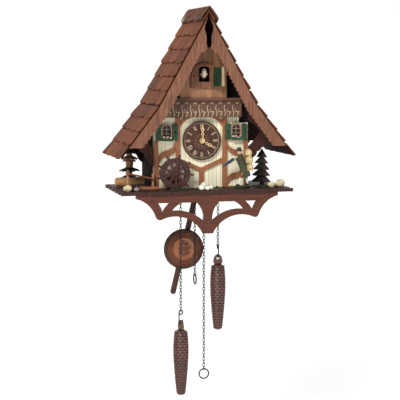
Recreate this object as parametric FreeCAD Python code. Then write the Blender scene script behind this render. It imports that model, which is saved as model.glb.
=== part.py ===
"""Chalet cuckoo clock, wall hung, with two chain-driven cone weights.

Row frame: +Z up, +Y towards the wall, -Y towards the viewer. The origin is the centre of the
hanger hole on the wall plane. Sizes are in millimetres. Heights written as h are measured above
the deck plane, which lies DECK_Z below the hanger hole.
"""

import math
import os

import FreeCAD
import Part

V = FreeCAD.Vector

# ---------------------------------------------------------------- driving dimensions
DECK_Z = -205.0          # deck plane below the hanger hole
WALL = 0.0               # the wall plane

CASE_HALF_W = 73.0       # outer half width of the case
PANEL_T = 4.0            # thickness of the case panels
BACK_Y0 = WALL - PANEL_T
INNER_WALL_Y = (-80.0, -76.0)
FACADE_Y = (-84.0, -80.0)
TIMBER_Y = (-87.0, -84.0)
GABLE_Y = (-98.0, -94.0)
GABLE_TOP = 212.0

DECK_TOP = 3.0           # h of the deck's walking surface
DECK_BOTTOM = -2.0
DECK_HALF_W = 131.0
DECK_FRONT = -129.0

ROOF_FRONT = -127.0      # roof boards
SHINGLE_FRONT = -131.0   # shingles overhang the barge boards
RIDGE_H = 270.0          # h where the two outer shingle lines would meet
BEND = (78.0, 129.0)     # x, h where the roof flares out
EAVE = (137.0, 52.5)     # x, h of the lowest shingle edge
SHINGLE_T = 3.5
ROOF_BOARD_T = 3.0
UPPER_COURSES = 7
LOWER_COURSES = 4

DIAL_H = 73.8            # h of the hand arbor
DIAL_R = 27.3
BEZEL_R = 29.3

CHAIN_Y = -60.0
CHAIN_PITCH = 5.0
LINK_WIRE_R = 0.48
LINK_BEND_R = 1.7
LINK_SLACK = 0.16        # free play between neighbouring links
SPROCKET_H = 25.0
SPROCKET_R = 11.2        # pitch radius of the chain round the wheel
WRAP_LINKS = 7
LEFT_SPROCKET_X = -14.6
RIGHT_SPROCKET_X = 22.1

PENDULUM_PIVOT = (19.3, 44.0)   # x, h
ESCAPE_C = (19.3, 56.0)         # x, h of the escape wheel
PENDULUM_TILT = 13.6            # the swing at which the clock is stored, degrees
PENDULUM_Y = (-33.0, -30.0)     # wooden rod
DISC_R = 31.4

DOOR_HINGE = (13.0, -104.2)     # x, y of the cuckoo door's hinge pin
DOOR_OPEN = 126.0               # degrees from closed
DOOR_W = 22.8
BIRD_X = 2.4
BIRD_PIVOT = (-70.0, 118.0)     # y, h of the bird lever's pivot

HAMMER_C = (-34.0, 84.0)        # x, h of the gong hammer's arbor

WHEEL_C = (-44.5, 26.5)         # x, h of the water wheel's axle
WHEEL_Y = (-106.0, -98.0)
WHEEL_PEGS = 9
PEG_R = 28.6                    # radius of the peg tips

PLATE_FRONT_Y = (-72.0, -70.8)  # movement plates
PLATE_BACK_Y = (-43.2, -42.0)


# ---------------------------------------------------------------- small helpers
def z(h):
    """Row-frame Z of a height above the deck plane."""
    return DECK_Z + h


def box(x0, x1, y0, y1, h0, h1):
    return Part.makeBox(x1 - x0, y1 - y0, h1 - h0, V(x0, y0, z(h0)))


def rod_y(x, h, r, y0, y1):
    return Part.makeCylinder(r, y1 - y0, V(x, y0, z(h)), V(0, 1, 0))


def rod_x(y, h, r, x0, x1):
    return Part.makeCylinder(r, x1 - x0, V(x0, y, z(h)), V(1, 0, 0))


def rod_z(x, y, r, h0, h1):
    return Part.makeCylinder(r, h1 - h0, V(x, y, z(h0)), V(0, 0, 1))


def rod(a, b, r):
    """A round rod from point a to point b, each (x, y, h)."""
    start, end = V(a[0], a[1], z(a[2])), V(b[0], b[1], z(b[2]))
    return Part.makeCylinder(r, start.distanceToPoint(end), start, end - start)


def ball(x, y, h, rx, ry, rz):
    """An ellipsoid."""
    shape = Part.makeSphere(1.0)
    m = FreeCAD.Matrix()
    m.scale(rx, ry, rz)
    shape = shape.transformGeometry(m)
    shape.translate(V(x, y, z(h)))
    return shape


def wire_xh(start, steps):
    """A closed outline in the X-h plane. Each step is (x, h) for a line or (mid, end) for an arc."""
    edges = []
    here = V(start[0], 0, z(start[1]))
    first = here
    for step in steps:
        if isinstance(step[0], tuple):
            mid, end = (V(p[0], 0, z(p[1])) for p in step)
            edges.append(Part.Arc(here, mid, end).toShape())
        else:
            end = V(step[0], 0, z(step[1]))
            edges.append(Part.LineSegment(here, end).toShape())
        here = end
    if here.distanceToPoint(first) > 1e-6:
        edges.append(Part.LineSegment(here, first).toShape())
    return Part.Wire(edges)


def plate(start, steps, ys):
    """A flat board: an X-h outline made solid between the two Y values."""
    face = Part.Face(wire_xh(start, steps))
    face.translate(V(0, ys[0], 0))
    return face.extrude(V(0, ys[1] - ys[0], 0))


def mirrored(shape):
    """The same shape on the other side of the middle plane."""
    return shape.mirror(V(0, 0, 0), V(1, 0, 0))


def both_sides(shape):
    return [shape, mirrored(shape)]


def save(name, shapes):
    solids = shapes if isinstance(shapes, list) else [shapes]
    flat = [s for shape in solids for s in shape.Solids]
    bad = [s for s in flat if not s.isValid() or s.Volume <= 0]
    if bad:
        raise ValueError(f"{name} has {len(bad)} bad solids")
    out = flat[0] if len(flat) == 1 else Part.makeCompound(flat)
    out.exportStep(f"parts/{name}.step")
    print(f"{name}: {len(flat)} solids, {sum(s.Volume for s in flat):.1f} mm3")


# ---------------------------------------------------------------- roof geometry
UPPER_ANGLE = math.atan2(BEND[0], RIDGE_H - BEND[1])              # from vertical
LOWER_ANGLE = math.atan2(EAVE[0] - BEND[0], BEND[1] - EAVE[1])


def inward(angle):
    """Unit normal into the house of a right-hand slope, as (x, h)."""
    return (-math.cos(angle), -math.sin(angle))


def roof_points(depth):
    """Ridge, bend and eave of a line that lies depth inside the outer shingle line."""
    up, low = inward(UPPER_ANGLE), inward(LOWER_ANGLE)
    share = depth / (1 + up[0] * low[0] + up[1] * low[1])
    ridge = (0.0, RIDGE_H - depth / math.sin(UPPER_ANGLE))
    bend = (BEND[0] + (up[0] + low[0]) * share, BEND[1] + (up[1] + low[1]) * share)
    eave = (EAVE[0] + low[0] * depth, EAVE[1] + low[1] * depth)
    return ridge, bend, eave


def roof_h(x, depth):
    """h at a distance x from the middle, on the line depth inside the shingle line."""
    ridge, bend, eave = roof_points(depth)
    a, b = (ridge, bend) if abs(x) <= bend[0] else (bend, eave)
    return a[1] + (abs(x) - a[0]) * (b[1] - a[1]) / (b[0] - a[0])


UNDERSIDE = SHINGLE_T + ROOF_BOARD_T


def under_roof(x, gap=0.0):
    """h of the roof boards' underside at x, less a gap measured square to the slope."""
    return roof_h(x, UNDERSIDE + gap)


def along(a, b, t):
    return (a[0] + (b[0] - a[0]) * t, a[1] + (b[1] - a[1]) * t)


def roof_boards():
    """Two boards a side, mitred at the ridge and butted at the bend."""
    top_r, top_b, top_e = roof_points(SHINGLE_T)
    low_r, low_b, low_e = roof_points(UNDERSIDE)
    ys = (ROOF_FRONT, WALL)
    upper = plate(top_r, [top_b, low_b, low_r], ys)
    trim = 5.0 / math.hypot(top_e[0] - top_b[0], top_e[1] - top_b[1])
    lower = plate(top_b, [along(top_b, top_e, 1 - trim), along(low_b, low_e, 1 - trim), low_b], ys)
    return both_sides(upper) + both_sides(lower)


def shingle_courses():
    """Wedge-shaped courses, thin at their top and thick at their butt, on one side of the roof."""
    outer_r, outer_b, outer_e = roof_points(0.0)
    base_r, base_b, base_e = roof_points(SHINGLE_T)
    ys = (SHINGLE_FRONT, WALL)
    thin = 1.2 / SHINGLE_T
    courses = []
    for (o_a, o_b), (b_a, b_b), count in (
        ((outer_r, outer_b), (base_r, base_b), UPPER_COURSES),
        ((outer_b, outer_e), (base_b, base_e), LOWER_COURSES),
    ):
        for i in range(count):
            t0, t1 = i / count, (i + 1) / count
            top, butt = along(b_a, b_b, t0), along(b_a, b_b, t1)
            outer_top = along(top, along(o_a, o_b, t0), thin)
            outer_butt = along(o_a, o_b, t1)
            courses.append(plate(top, [outer_top, outer_butt, butt], ys))
    return courses


def ridge_cap():
    """A row of short ridge shingles, bent over the apex."""
    caps = []
    count = 8
    pitch = (WALL - 2.0 - SHINGLE_FRONT) / count
    for i in range(count):
        y0 = SHINGLE_FRONT - 1.5 + i * pitch
        inner_h = RIDGE_H + 0.4
        half = plate(
            (0, inner_h),
            [(9.0, roof_h(9.0, 0.0) + 0.4), (13.2, RIDGE_H - 18.5), (14.2, RIDGE_H - 14.0),
             (3.0, RIDGE_H + 0.4), (0, RIDGE_H + 2.2)],
            (y0, y0 + pitch),
        )
        caps.append(half.fuse(mirrored(half)).removeSplitter())
    return caps


# ---------------------------------------------------------------- case
def case_outline(half_w, h0, gap):
    """The house section: straight walls that end under the roof."""
    ridge, bend, _ = roof_points(UNDERSIDE + gap)
    right = [(half_w, h0), (half_w, under_roof(half_w, gap))]
    if half_w > bend[0]:
        right.append(bend)
    left = [(-x, h) for x, h in reversed(right)]
    points = right + [ridge] + left
    return points[0], points[1:]


def back_panel():
    start, steps = case_outline(CASE_HALF_W, DECK_TOP, 0.0)
    panel = plate(start, steps, (BACK_Y0, WALL))
    for x in (-30.0, 0.0, 30.0):                          # sound holes
        panel = panel.cut(rod_y(x, 105.0, 6.0, BACK_Y0 - 1, WALL + 1))
    recess = box(-12.5, 12.5, WALL - 1.2, WALL + 1, 205.0 - 9.5, 205.0 + 9.5)
    pocket = box(-7.5, 7.5, BACK_Y0 - 1, WALL, 205.0 - 7.5, 205.0 + 6.0)
    return panel.cut(recess).cut(pocket)


def hanger_plate():
    """Steel plate let into the back, with a round hole for the wall hook."""
    body = box(-12.2, 12.2, WALL - 1.2, WALL, 205.0 - 9.2, 205.0 + 9.2)
    return body.cut(rod_y(0, 205.0, 4.0, WALL - 3, WALL + 1))


def side_panels():
    inner = CASE_HALF_W - PANEL_T
    bend = roof_points(UNDERSIDE)[1]
    side = plate(
        (inner, DECK_TOP),
        [(CASE_HALF_W, DECK_TOP), (CASE_HALF_W, under_roof(CASE_HALF_W)), bend, (inner, under_roof(inner))],
        (INNER_WALL_Y[1], BACK_Y0),
    )
    for i in range(4):                                    # sound slots beside the bellows
        side = side.cut(box(inner - 1, CASE_HALF_W + 1, -60, -24, 78 + 9 * i, 81.5 + 9 * i))
    return both_sides(side)


def window_hole(x, ys):
    """The arched light of one window."""
    return plate((x - 6.2, 78.0), [(x + 6.2, 78.0), (x + 6.2, 91.5), ((x, 97.7), (x - 6.2, 91.5))], ys)


WINDOW_X = 53.8


def inner_front_wall():
    """Dark boarded wall that closes the house behind the facade and the gable."""
    start, steps = case_outline(CASE_HALF_W, DECK_TOP, 0.0)
    wall = plate(start, steps, INNER_WALL_Y)
    wall = wall.cut(box(-14, 14, -81, -75, 128, 190))     # way through for the bird
    wall = wall.cut(rod_y(0, DIAL_H, 5.0, -81, -75))
    wall = wall.cut(rod_y(*WHEEL_C, 1.47, -81, -75))
    for i in range(20):                                   # weatherboard grooves
        h = 102.0 + i * 5.0
        for s in (-1, 1):
            x0, x1 = (36.5, CASE_HALF_W + 1) if h > 137 else (59.5, CASE_HALF_W + 1)
            lo, hi = (x0, x1) if s > 0 else (-x1, -x0)
            if h < 205:
                wall = wall.cut(box(lo, hi, -80.5, -79.2, h, h + 0.9))
    return wall


def facade_panel():
    w, upper = CASE_HALF_W, 59.0
    panel = plate(
        (-w, DECK_TOP),
        [(w, DECK_TOP), (w, 100.0), (upper, 100.0), (upper, 133.0),
         (-upper, 133.0), (-upper, 100.0), (-w, 100.0)],
        FACADE_Y,
    )
    for s in (-1, 1):
        panel = panel.cut(window_hole(s * WINDOW_X, (-85, -79)))
    panel = panel.cut(rod_y(0, DIAL_H, 5.0, -85, -79))
    return panel.cut(rod_y(*WHEEL_C, 1.47, -85, -79))


def curved_brace(x0, h0, x1, h1, width):
    """An S-shaped timber between two posts: each half is an arc, with the same width throughout."""
    xm, hm = (x0 + x1) / 2, (h0 + h1) / 2
    bow = 0.16 * (h0 - h1)
    def side(dh):
        a, m, b = (x0, h0 + dh), (xm, hm + dh), (x1, h1 + dh)
        q1 = ((x0 + xm) / 2, (h0 + hm) / 2 + dh - bow)
        q2 = ((xm + x1) / 2, (hm + h1) / 2 + dh + bow)
        return a, q1, m, q2, b
    a, q1, m, q2, b = side(width / 2)
    a2, q12, m2, q22, b2 = side(-width / 2)
    return plate(a, [(q1, m), (q2, b), b2, (q22, m2), (q12, a2)], TIMBER_Y)


POST_OUT = (66.5, 73.0)
POST_IN = (33.0, 39.6)


def timber_framing():
    """Half-timbering glued on the facade: posts, rails, the dial's hexagon and curved braces."""
    pieces = []
    pieces += both_sides(box(*POST_OUT, *TIMBER_Y, DECK_TOP, 73.5))
    pieces += both_sides(box(*POST_IN, *TIMBER_Y, DECK_TOP, 109.0))
    centre = box(-3.6, 3.6, *TIMBER_Y, DECK_TOP, 26.0)
    arm = plate((0, 33.0), [(33.0, 47.5), (33.0, 40.7), (3.6, 27.6), (3.6, 26.0), (0, 26.0)], TIMBER_Y)
    pieces.append(centre.fuse(arm).fuse(mirrored(arm)).removeSplitter())
    corner = plate(
        (33.0, 93.0),
        [(33.0, 100.0), ((29.5, 105.5), (23.0, 109.0)), (14.0, 109.0), ((26.0, 102.5), (33.0, 93.0))],
        TIMBER_Y,
    )
    pieces += both_sides(corner)
    x_in, x_out = POST_IN[1], POST_OUT[0]
    pieces += both_sides(curved_brace(x_in, 70.0, x_out, 41.0, 8.5))
    pieces += both_sides(curved_brace(x_in, 8.5, x_out, 31.5, 8.5))
    sill = box(x_in, x_out, *TIMBER_Y, DECK_TOP, 4.4)
    pieces += both_sides(sill)
    return pieces


def window_frames():
    """Arched frames with two bars and one mullion."""
    def one(x):
        ys = (-88.5, TIMBER_Y[1])
        arch = ((x, 100.1), (x - 8.6, 91.5))
        outer = plate((x - 8.6, 75.0), [(x + 8.6, 75.0), (x + 8.6, 91.5), arch], ys)
        outer = outer.cut(window_hole(x, (-90, -80)))
        bars = [box(x - 0.5, x + 0.5, -87.3, -85.3, 77.5, 98.0)]
        bars += [box(x - 6.5, x + 6.5, -87.3, -85.3, h, h + 1.0) for h in (84.2, 90.8)]
        for bar in bars:
            outer = outer.fuse(bar)
        flower_box = box(x - 7.5, x + 7.5, -93.0, -88.5, 74.0, 78.0)
        return outer.removeSplitter(), flower_box
    return [s for side in (-1, 1) for s in one(side * WINDOW_X)]


def shutters():
    """Four small panels beside the windows, each with a diamond cut through it."""
    def panel(x0, x1):
        xm = (x0 + x1) / 2
        body = box(x0, x1, -89.6, -87.0, 74.6, 98.6)
        hole = plate((xm, 83.4), [(xm + 1.6, 86.6), (xm, 89.8), (xm - 1.6, 86.6)], (-91, -86))
        return body.cut(hole)
    inner = panel(WINDOW_X - 8.8 - 8.0, WINDOW_X - 8.8)
    outer = panel(WINDOW_X + 8.8, WINDOW_X + 8.8 + 8.0)
    return both_sides(inner) + both_sides(outer)


def deck():
    """Planked shelf: its long edges are notched at the plank joints and its ends are stepped."""
    body = box(-DECK_HALF_W, DECK_HALF_W, DECK_FRONT, WALL, DECK_BOTTOM, DECK_TOP)
    planks = 7
    width = 2 * DECK_HALF_W / planks
    for i in range(1, planks):
        x = -DECK_HALF_W + i * width
        body = body.cut(box(x - 0.5, x + 0.5, DECK_FRONT - 1, -88.0, DECK_TOP - 0.8, DECK_TOP + 1))
        ys = (DECK_FRONT - 1, DECK_FRONT + 1.5)
        body = body.cut(box(x - 0.5, x + 0.5, *ys, DECK_BOTTOM - 1, DECK_TOP + 1))
    for s in (-1, 1):                                     # stepped ends
        for i in range(5):
            y0 = DECK_FRONT + 6 + i * 24.0
            x0, x1 = sorted((s * DECK_HALF_W, s * (DECK_HALF_W - 4.0)))
            body = body.cut(box(x0, x1, y0, y0 + 11.0, DECK_BOTTOM - 1, DECK_TOP + 1))
    wheel_slot = box(WHEEL_C[0] - 19, WHEEL_C[0] + 19, WHEEL_Y[0] - 1.2, WHEEL_Y[1] + 1.2, -3, 4)
    body = body.cut(wheel_slot)
    for x in (LEFT_SPROCKET_X, RIGHT_SPROCKET_X):
        for s in (-1, 1):
            body = body.cut(rod_z(x + s * SPROCKET_R, CHAIN_Y, 4.0, -3, 4))
    return body.cut(box(1.5, 37.5, -38, -24, -3, 4))         # pendulum slot


def base_bracket():
    """Fretwork bracket under the deck's front edge."""
    ys = (-125.0, -119.0)
    half = plate(
        (0, DECK_BOTTOM),
        [(108.3, DECK_BOTTOM), (108.3, -7.5), ((89.5, -17.5), (78.6, -34.5)),
         ((76.0, -38.4), (71.0, -39.2)), ((43.0, -35.2), (7.4, -61.5)), (0, -61.5)],
        ys,
    )
    light = plate(
        (17.0, -14.6),
        [(40.0, -14.6), ((49.0, -20.0), (55.0, -26.5)), ((28.0, -29.5), (6.4, -43.0)),
         ((8.4, -27.5), (17.0, -14.6))],
        (-126, -118),
    )
    corner = plate(
        (57.5, -14.4),
        [(75.6, -14.4), ((71.5, -21.0), (69.0, -29.2)), ((64.5, -21.5), (57.5, -14.4))],
        (-126, -118),
    )
    half = half.cut(light).cut(corner)
    return half.fuse(mirrored(half)).removeSplitter()


def barge_boards():
    """Sloping gable boards with a scalloped lower edge."""
    ys = (SHINGLE_FRONT + 0.5, ROOF_FRONT)
    top_r, top_b, top_e = roof_points(UNDERSIDE - 1.0)
    low_r, low_b, low_e = roof_points(UNDERSIDE + 13.3)
    h_cut = 67.0

    def at_h(a, b, h):
        return along(a, b, (h - a[1]) / (b[1] - a[1]))

    start = along(top_r, top_b, 0.03)
    steps = [top_b, at_h(top_b, top_e, h_cut)]
    inner_foot = at_h(low_b, low_e, h_cut)
    steps.append(inner_foot)

    def scallops(a, b, count):
        """Shallow arcs bulging out of the board's lower edge, from a to b."""
        n = (-(b[1] - a[1]), b[0] - a[0])
        length = math.hypot(*n)
        sign = -1.0 if n[0] > 0 else 1.0
        out = []
        for i in range(count):
            mid, end = along(a, b, (i + 0.5) / count), along(a, b, (i + 1) / count)
            bulge = (mid[0] + sign * n[0] / length * 2.0, mid[1] + sign * n[1] / length * 2.0)
            out.append((bulge, end))
        return out

    steps += scallops(inner_foot, low_b, 9)
    inner_top = along(low_r, low_b, 0.215)
    steps += scallops(low_b, inner_top, 15)
    steps += [((5.6, inner_top[1] + 1.5), (4.6, 217.0)), ((3.9, 225.0), (5.2, 232.0)),
              ((6.6, 238.0), (6.2, 244.0))]
    board = plate(start, steps, ys)
    return both_sides(board)


def knee_braces():
    """Scalloped braces from the corner posts to the eaves, at the front and at the back."""
    def brace(ys):
        foot_x = CASE_HALF_W
        under_side = [(x, under_roof(x, 1.0)) for x in (foot_x + 4.0, 104.0, 112.0)]
        steps = [
            (foot_x, 63.0), (79.5, 68.5), (93.0, 86.5), (82.0, 98.5), (foot_x, 104.0),
            (foot_x, 116.0), *under_side, (111.0, 70.5),
        ]
        chain = [(111.0, 70.5), (101.5, 67.5), (94.5, 62.0), (87.0, 56.0), (82.0, 48.0), (foot_x, 36.0)]
        arcs = []
        for a, b in zip(chain, chain[1:]):
            mid = along(a, b, 0.5)
            dx, dh = b[0] - a[0], b[1] - a[1]
            length = math.hypot(dx, dh)
            arcs.append(((mid[0] - dh / length * 1.6, mid[1] + dx / length * 1.6), b))
        return plate((foot_x, 36.0), steps + arcs, ys)
    front, back = (-87.0, -83.0), (-6.0, -2.0)
    return both_sides(brace(front)) + both_sides(brace(back))


# ---------------------------------------------------------------- gable and balcony
DOORWAY = (1.0, 9.0, 161.5, 184.0)   # centre x, half width, sill h and crown h


def doorway(ys):
    """The arched way through which the bird comes out."""
    x, w, h0, h1 = DOORWAY
    r = 5.0
    k = r * (1 - math.sqrt(0.5))
    return plate(
        (x - w, h0),
        [(x + w, h0), (x + w, h1 - r), ((x + w - k, h1 - k), (x + w - r, h1)), (x - w + r, h1),
         ((x - w + k, h1 - k), (x - w, h1 - r))],
        ys,
    )


def gable_panel():
    half_w = 36.0
    start, steps = case_outline(half_w, 137.6, 0.4)
    panel = plate(start, steps, GABLE_Y).cut(doorway((-99, -93)))
    panel = panel.cut(box(-20, 20, *GABLE_Y, GABLE_TOP, RIDGE_H))
    h_side = under_roof(half_w, 0.6)
    cheek_y = (GABLE_Y[1], INNER_WALL_Y[0])
    cheek = plate((half_w - 3, 137.6), [(half_w, 137.6), (half_w, h_side), (half_w - 3, h_side)], cheek_y)
    return [panel] + both_sides(cheek)


def door_frame():
    """Arched surround of the cuckoo doorway, with a deep sill."""
    ys = (-102.0, GABLE_Y[0])
    outer = plate(
        (-19.0, 152.4),
        [(14.8, 152.4), (14.8, 182.6), ((-1.0, 189.0), (-15.4, 182.0)), ((-19.8, 167.0), (-19.0, 152.4))],
        ys,
    )
    return outer.cut(doorway((-103, -97)))


def balcony():
    """Carved balcony board with its ends, under a moulded beam that is also the gable's floor."""
    board = box(-59, 59, *GABLE_Y, 109.0, 133.0)
    end = box(55.0, 59.0, GABLE_Y[1], FACADE_Y[0], 109.0, 133.0)
    front = plate((-60.5, 133.0), [(60.5, 133.0), (60.5, 137.4), (-60.5, 137.4)], (-101.5, -94.0))
    floor = box(-60.5, 60.5, -94.0, INNER_WALL_Y[0], 133.0, 137.4)
    floor = floor.cut(box(-14, 14, -81, INNER_WALL_Y[0] + 1, 132, 138))
    return [board] + both_sides(end) + [front.fuse(floor).removeSplitter()]


# ---------------------------------------------------------------- dial and hands
def dial():
    disc = rod_y(0, DIAL_H, DIAL_R, -88.0, FACADE_Y[0]).cut(rod_y(0, DIAL_H, 4.2, -90, -80))
    bezel = rod_y(0, DIAL_H, BEZEL_R, -89.6, FACADE_Y[0]).cut(rod_y(0, DIAL_H, DIAL_R, -90, -80))
    return [disc, bezel]


def hand(length, hub_r, bore_r, y0, thick, angle):
    """A pierced hand: hub, two open loops on a stem, and a pointed tip. Angle is clockwise from 12."""
    def ring(h, r, hole):
        return rod_y(0, h, r, y0, y0 + thick).cut(rod_y(0, h, hole, y0 - 1, y0 + thick + 1))
    body = rod_y(0, 0, hub_r, y0, y0 + thick)
    body = body.fuse(box(-0.8, 0.8, y0, y0 + thick, 0, length * 0.45))
    for share, r in ((0.45, 2.2), (0.72, 2.6)):
        h = length * share
        body = body.cut(rod_y(0, h, 1.2, y0 - 1, y0 + thick + 1)).fuse(ring(h, r, 1.2))
    stem = box(-0.7, 0.7, y0, y0 + thick, length * 0.45 + 1.9, length * 0.72 - 2.2)
    tip = plate((-1.5, length * 0.72 + 2.0), [(1.5, length * 0.72 + 2.0), (0, length)], (y0, y0 + thick))
    body = body.fuse(stem).fuse(tip).cut(rod_y(0, 0, bore_r, y0 - 1, y0 + thick + 1)).removeSplitter()
    body.rotate(V(0, 0, z(0)), V(0, 1, 0), angle)
    body.translate(V(0, 0, DIAL_H))
    return body


def gear(x, h, teeth, module, y0, y1, bore, phase=0.0):
    """A spur gear with narrow trapezoid teeth, which leave backlash."""
    r_out = module * (teeth / 2 + 0.85)
    r_root = module * (teeth / 2 - 1.25)
    step = 2 * math.pi / teeth
    edges = []
    points = []
    for i in range(teeth):
        a = i * step + phase
        for offset, r in ((-0.25, r_root), (-0.10, r_out), (0.10, r_out), (0.25, r_root)):
            t = a + offset * step
            points.append(V(x + r * math.sin(t), y0, z(h) + r * math.cos(t)))
    for a, b in zip(points, points[1:] + points[:1]):
        edges.append(Part.LineSegment(a, b).toShape())
    body = Part.Face(Part.Wire(edges)).extrude(V(0, y1 - y0, 0))
    return body.cut(rod_y(x, h, bore, y0 - 1, y1 + 1)) if bore else body


CANNON_TEETH, MINUTE_WHEEL_TEETH = 12, 36
MINUTE_PINION_TEETH, HOUR_WHEEL_TEETH = 10, 40
MOTION_CENTRES = 12.0
MINUTE_WHEEL_ANGLE = math.radians(45.0)


def minute_wheel_centre():
    a = MINUTE_WHEEL_ANGLE
    return MOTION_CENTRES * math.sin(a), DIAL_H + MOTION_CENTRES * math.cos(a)


def motion_work():
    """Cannon pinion, minute wheel and hour wheel: twelve turns of one hand to one of the other."""
    m1 = 2 * MOTION_CENTRES / (CANNON_TEETH + MINUTE_WHEEL_TEETH)
    m2 = 2 * MOTION_CENTRES / (MINUTE_PINION_TEETH + HOUR_WHEEL_TEETH)
    mx, mh = minute_wheel_centre()
    y_cannon, y_hour = (-73.4, -72.2), (-75.4, -74.2)
    half_step = math.pi / MINUTE_WHEEL_TEETH
    cannon = gear(0, DIAL_H, CANNON_TEETH, m1, *y_cannon, 0, MINUTE_WHEEL_ANGLE)
    arbor = rod_y(0, DIAL_H, 1.2, -94.4, PLATE_BACK_Y[1] + 1.5)
    nut = rod_y(0, DIAL_H, 2.6, -96.0, -94.4)
    centre_arbor = cannon.fuse(arbor).fuse(nut).removeSplitter()
    far_side = MINUTE_WHEEL_ANGLE + math.pi
    wheel = gear(mx, mh, MINUTE_WHEEL_TEETH, m1, *y_cannon, 0, far_side + half_step)
    pinion = gear(mx, mh, MINUTE_PINION_TEETH, m2, *y_hour, 0, far_side + math.pi / MINUTE_PINION_TEETH)
    collar = rod_y(mx, mh, 1.6, y_hour[0], y_cannon[1])
    bore = rod_y(mx, mh, 0.96, y_hour[0] - 1, y_cannon[1] + 1)
    minute_wheel = wheel.fuse(pinion).fuse(collar).cut(bore).removeSplitter()
    hour = gear(0, DIAL_H, HOUR_WHEEL_TEETH, m2, *y_hour, 0, MINUTE_WHEEL_ANGLE)
    pipe = rod_y(0, DIAL_H, 3.2, -91.2, y_hour[1])
    hour_wheel = hour.fuse(pipe).cut(rod_y(0, DIAL_H, 1.28, -95, -70)).removeSplitter()
    return centre_arbor, minute_wheel, hour_wheel


# ---------------------------------------------------------------- movement
def movement_frame():
    """Two steel plates on four pillars, screwed to the inside of the front wall."""
    def brass_plate(ys):
        body = box(-44, 46, *ys, 6.0, 100.0)
        holes = [(LEFT_SPROCKET_X, SPROCKET_H, 1.57), (RIGHT_SPROCKET_X, SPROCKET_H, 1.57),
                 (0, DIAL_H, 1.26), (*PENDULUM_PIVOT, 1.27), (*ESCAPE_C, 1.27), (*HAMMER_C, 1.27)]
        for x, h, r in holes:
            body = body.cut(rod_y(x, h, r, ys[0] - 1, ys[1] + 1))
        return body
    pieces = [brass_plate(PLATE_FRONT_Y), brass_plate(PLATE_BACK_Y)]
    for x, h in ((-39, 11), (41, 11), (-39, 95), (41, 95)):
        pieces.append(rod_y(x, h, 2.4, PLATE_FRONT_Y[1], PLATE_BACK_Y[0]))
        pieces.append(rod_y(x, h, 2.0, INNER_WALL_Y[1], PLATE_FRONT_Y[0]))
    pieces.append(rod_y(*minute_wheel_centre(), 0.9, -75.8, PLATE_FRONT_Y[0]))
    return pieces


def chain_wheel(x):
    """Sprocket with a grooved rim for the chain, fixed to its great wheel and arbor."""
    arbor = rod_y(x, SPROCKET_H, 1.5, PLATE_FRONT_Y[0] - 0.8, PLATE_BACK_Y[1] + 0.8)
    hub = rod_y(x, SPROCKET_H, 8.1, CHAIN_Y - 3.0, CHAIN_Y + 3.0)
    flanges = [rod_y(x, SPROCKET_H, 12.6, CHAIN_Y + s, CHAIN_Y + s + 1.0) for s in (-4.0, 3.0)]
    great = gear(x, SPROCKET_H, 64, 0.5, -54.8, -53.2, 0)
    sleeve = rod_y(x, SPROCKET_H, 4.0, CHAIN_Y + 4.0, -54.8)
    body = arbor.fuse(hub).fuse(great).fuse(sleeve)
    for flange in flanges:
        body = body.fuse(flange)
    return body.removeSplitter()


def escape_wheel():
    x, h = ESCAPE_C
    teeth = 15
    edges = []
    points = []
    for i in range(teeth):
        a = 2 * math.pi * i / teeth
        b = a + 2 * math.pi / teeth * 0.35
        points.append(V(x + 8.5 * math.sin(a), -64.0, z(h) + 8.5 * math.cos(a)))
        points.append(V(x + 6.6 * math.sin(b), -64.0, z(h) + 6.6 * math.cos(b)))
    for a, b in zip(points, points[1:] + points[:1]):
        edges.append(Part.LineSegment(a, b).toShape())
    wheel = Part.Face(Part.Wire(edges)).extrude(V(0, 1.2, 0))
    arbor = rod_y(x, h, 1.2, PLATE_FRONT_Y[0] - 0.8, PLATE_BACK_Y[1] + 0.8)
    pinion = rod_y(x, h, 2.0, -60.0, -48.0)
    return wheel.fuse(arbor).fuse(pinion).removeSplitter()


def tilted(shape):
    """Turns a pendulum piece about its pivot to the stored swing."""
    shape = shape.copy()
    shape.rotate(V(PENDULUM_PIVOT[0], 0, z(PENDULUM_PIVOT[1])), V(0, 1, 0), PENDULUM_TILT)
    return shape


ROD_TOP_L, ROD_END_L = 38.0, 218.6     # distances down from the pivot
DISC_L = 145.6


def anchor():
    """Escapement anchor on the pendulum arbor, with the wire leader that carries the rod."""
    x, h = PENDULUM_PIVOT
    arbor = rod_y(x, h, 1.2, PLATE_FRONT_Y[0] - 0.8, PENDULUM_Y[1])
    arms = box(x - 8.6, x + 8.6, -64.2, -62.6, h - 1.4, h + 1.4)
    pallets = [box(x + s * 8.6 - 0.9, x + s * 8.6 + 0.9, -64.2, -62.6, h - 1.4, h + 5.2) for s in (-1, 1)]
    leader = rod_z(x, (PENDULUM_Y[0] + PENDULUM_Y[1]) / 2, 0.8, h - ROD_TOP_L, h)
    body = arbor.fuse(arms).fuse(leader)
    for pallet in pallets:
        body = body.fuse(pallet)
    return tilted(body.removeSplitter())


def pendulum_rod():
    x, h = PENDULUM_PIVOT
    half_w = 4.2
    end = h - ROD_END_L
    strip = plate((x - half_w, h - ROD_TOP_L), [(x + half_w, h - ROD_TOP_L), (x + half_w, end + half_w),
                                                ((x, end), (x - half_w, end + half_w))], PENDULUM_Y)
    return tilted(strip)


def pendulum_disc():
    """Turned disc with stepped rings and a shallow raised centre."""
    x, h = PENDULUM_PIVOT
    h -= DISC_L
    y = PENDULUM_Y[0]
    body = rod_y(x, h, DISC_R, y - 6.0, y)
    body = body.cut(rod_y(x, h, 24.5, y - 7.0, y - 4.6))
    body = body.fuse(rod_y(x, h, 17.5, y - 5.6, y - 4.6))
    return tilted(body.removeSplitter())


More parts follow.
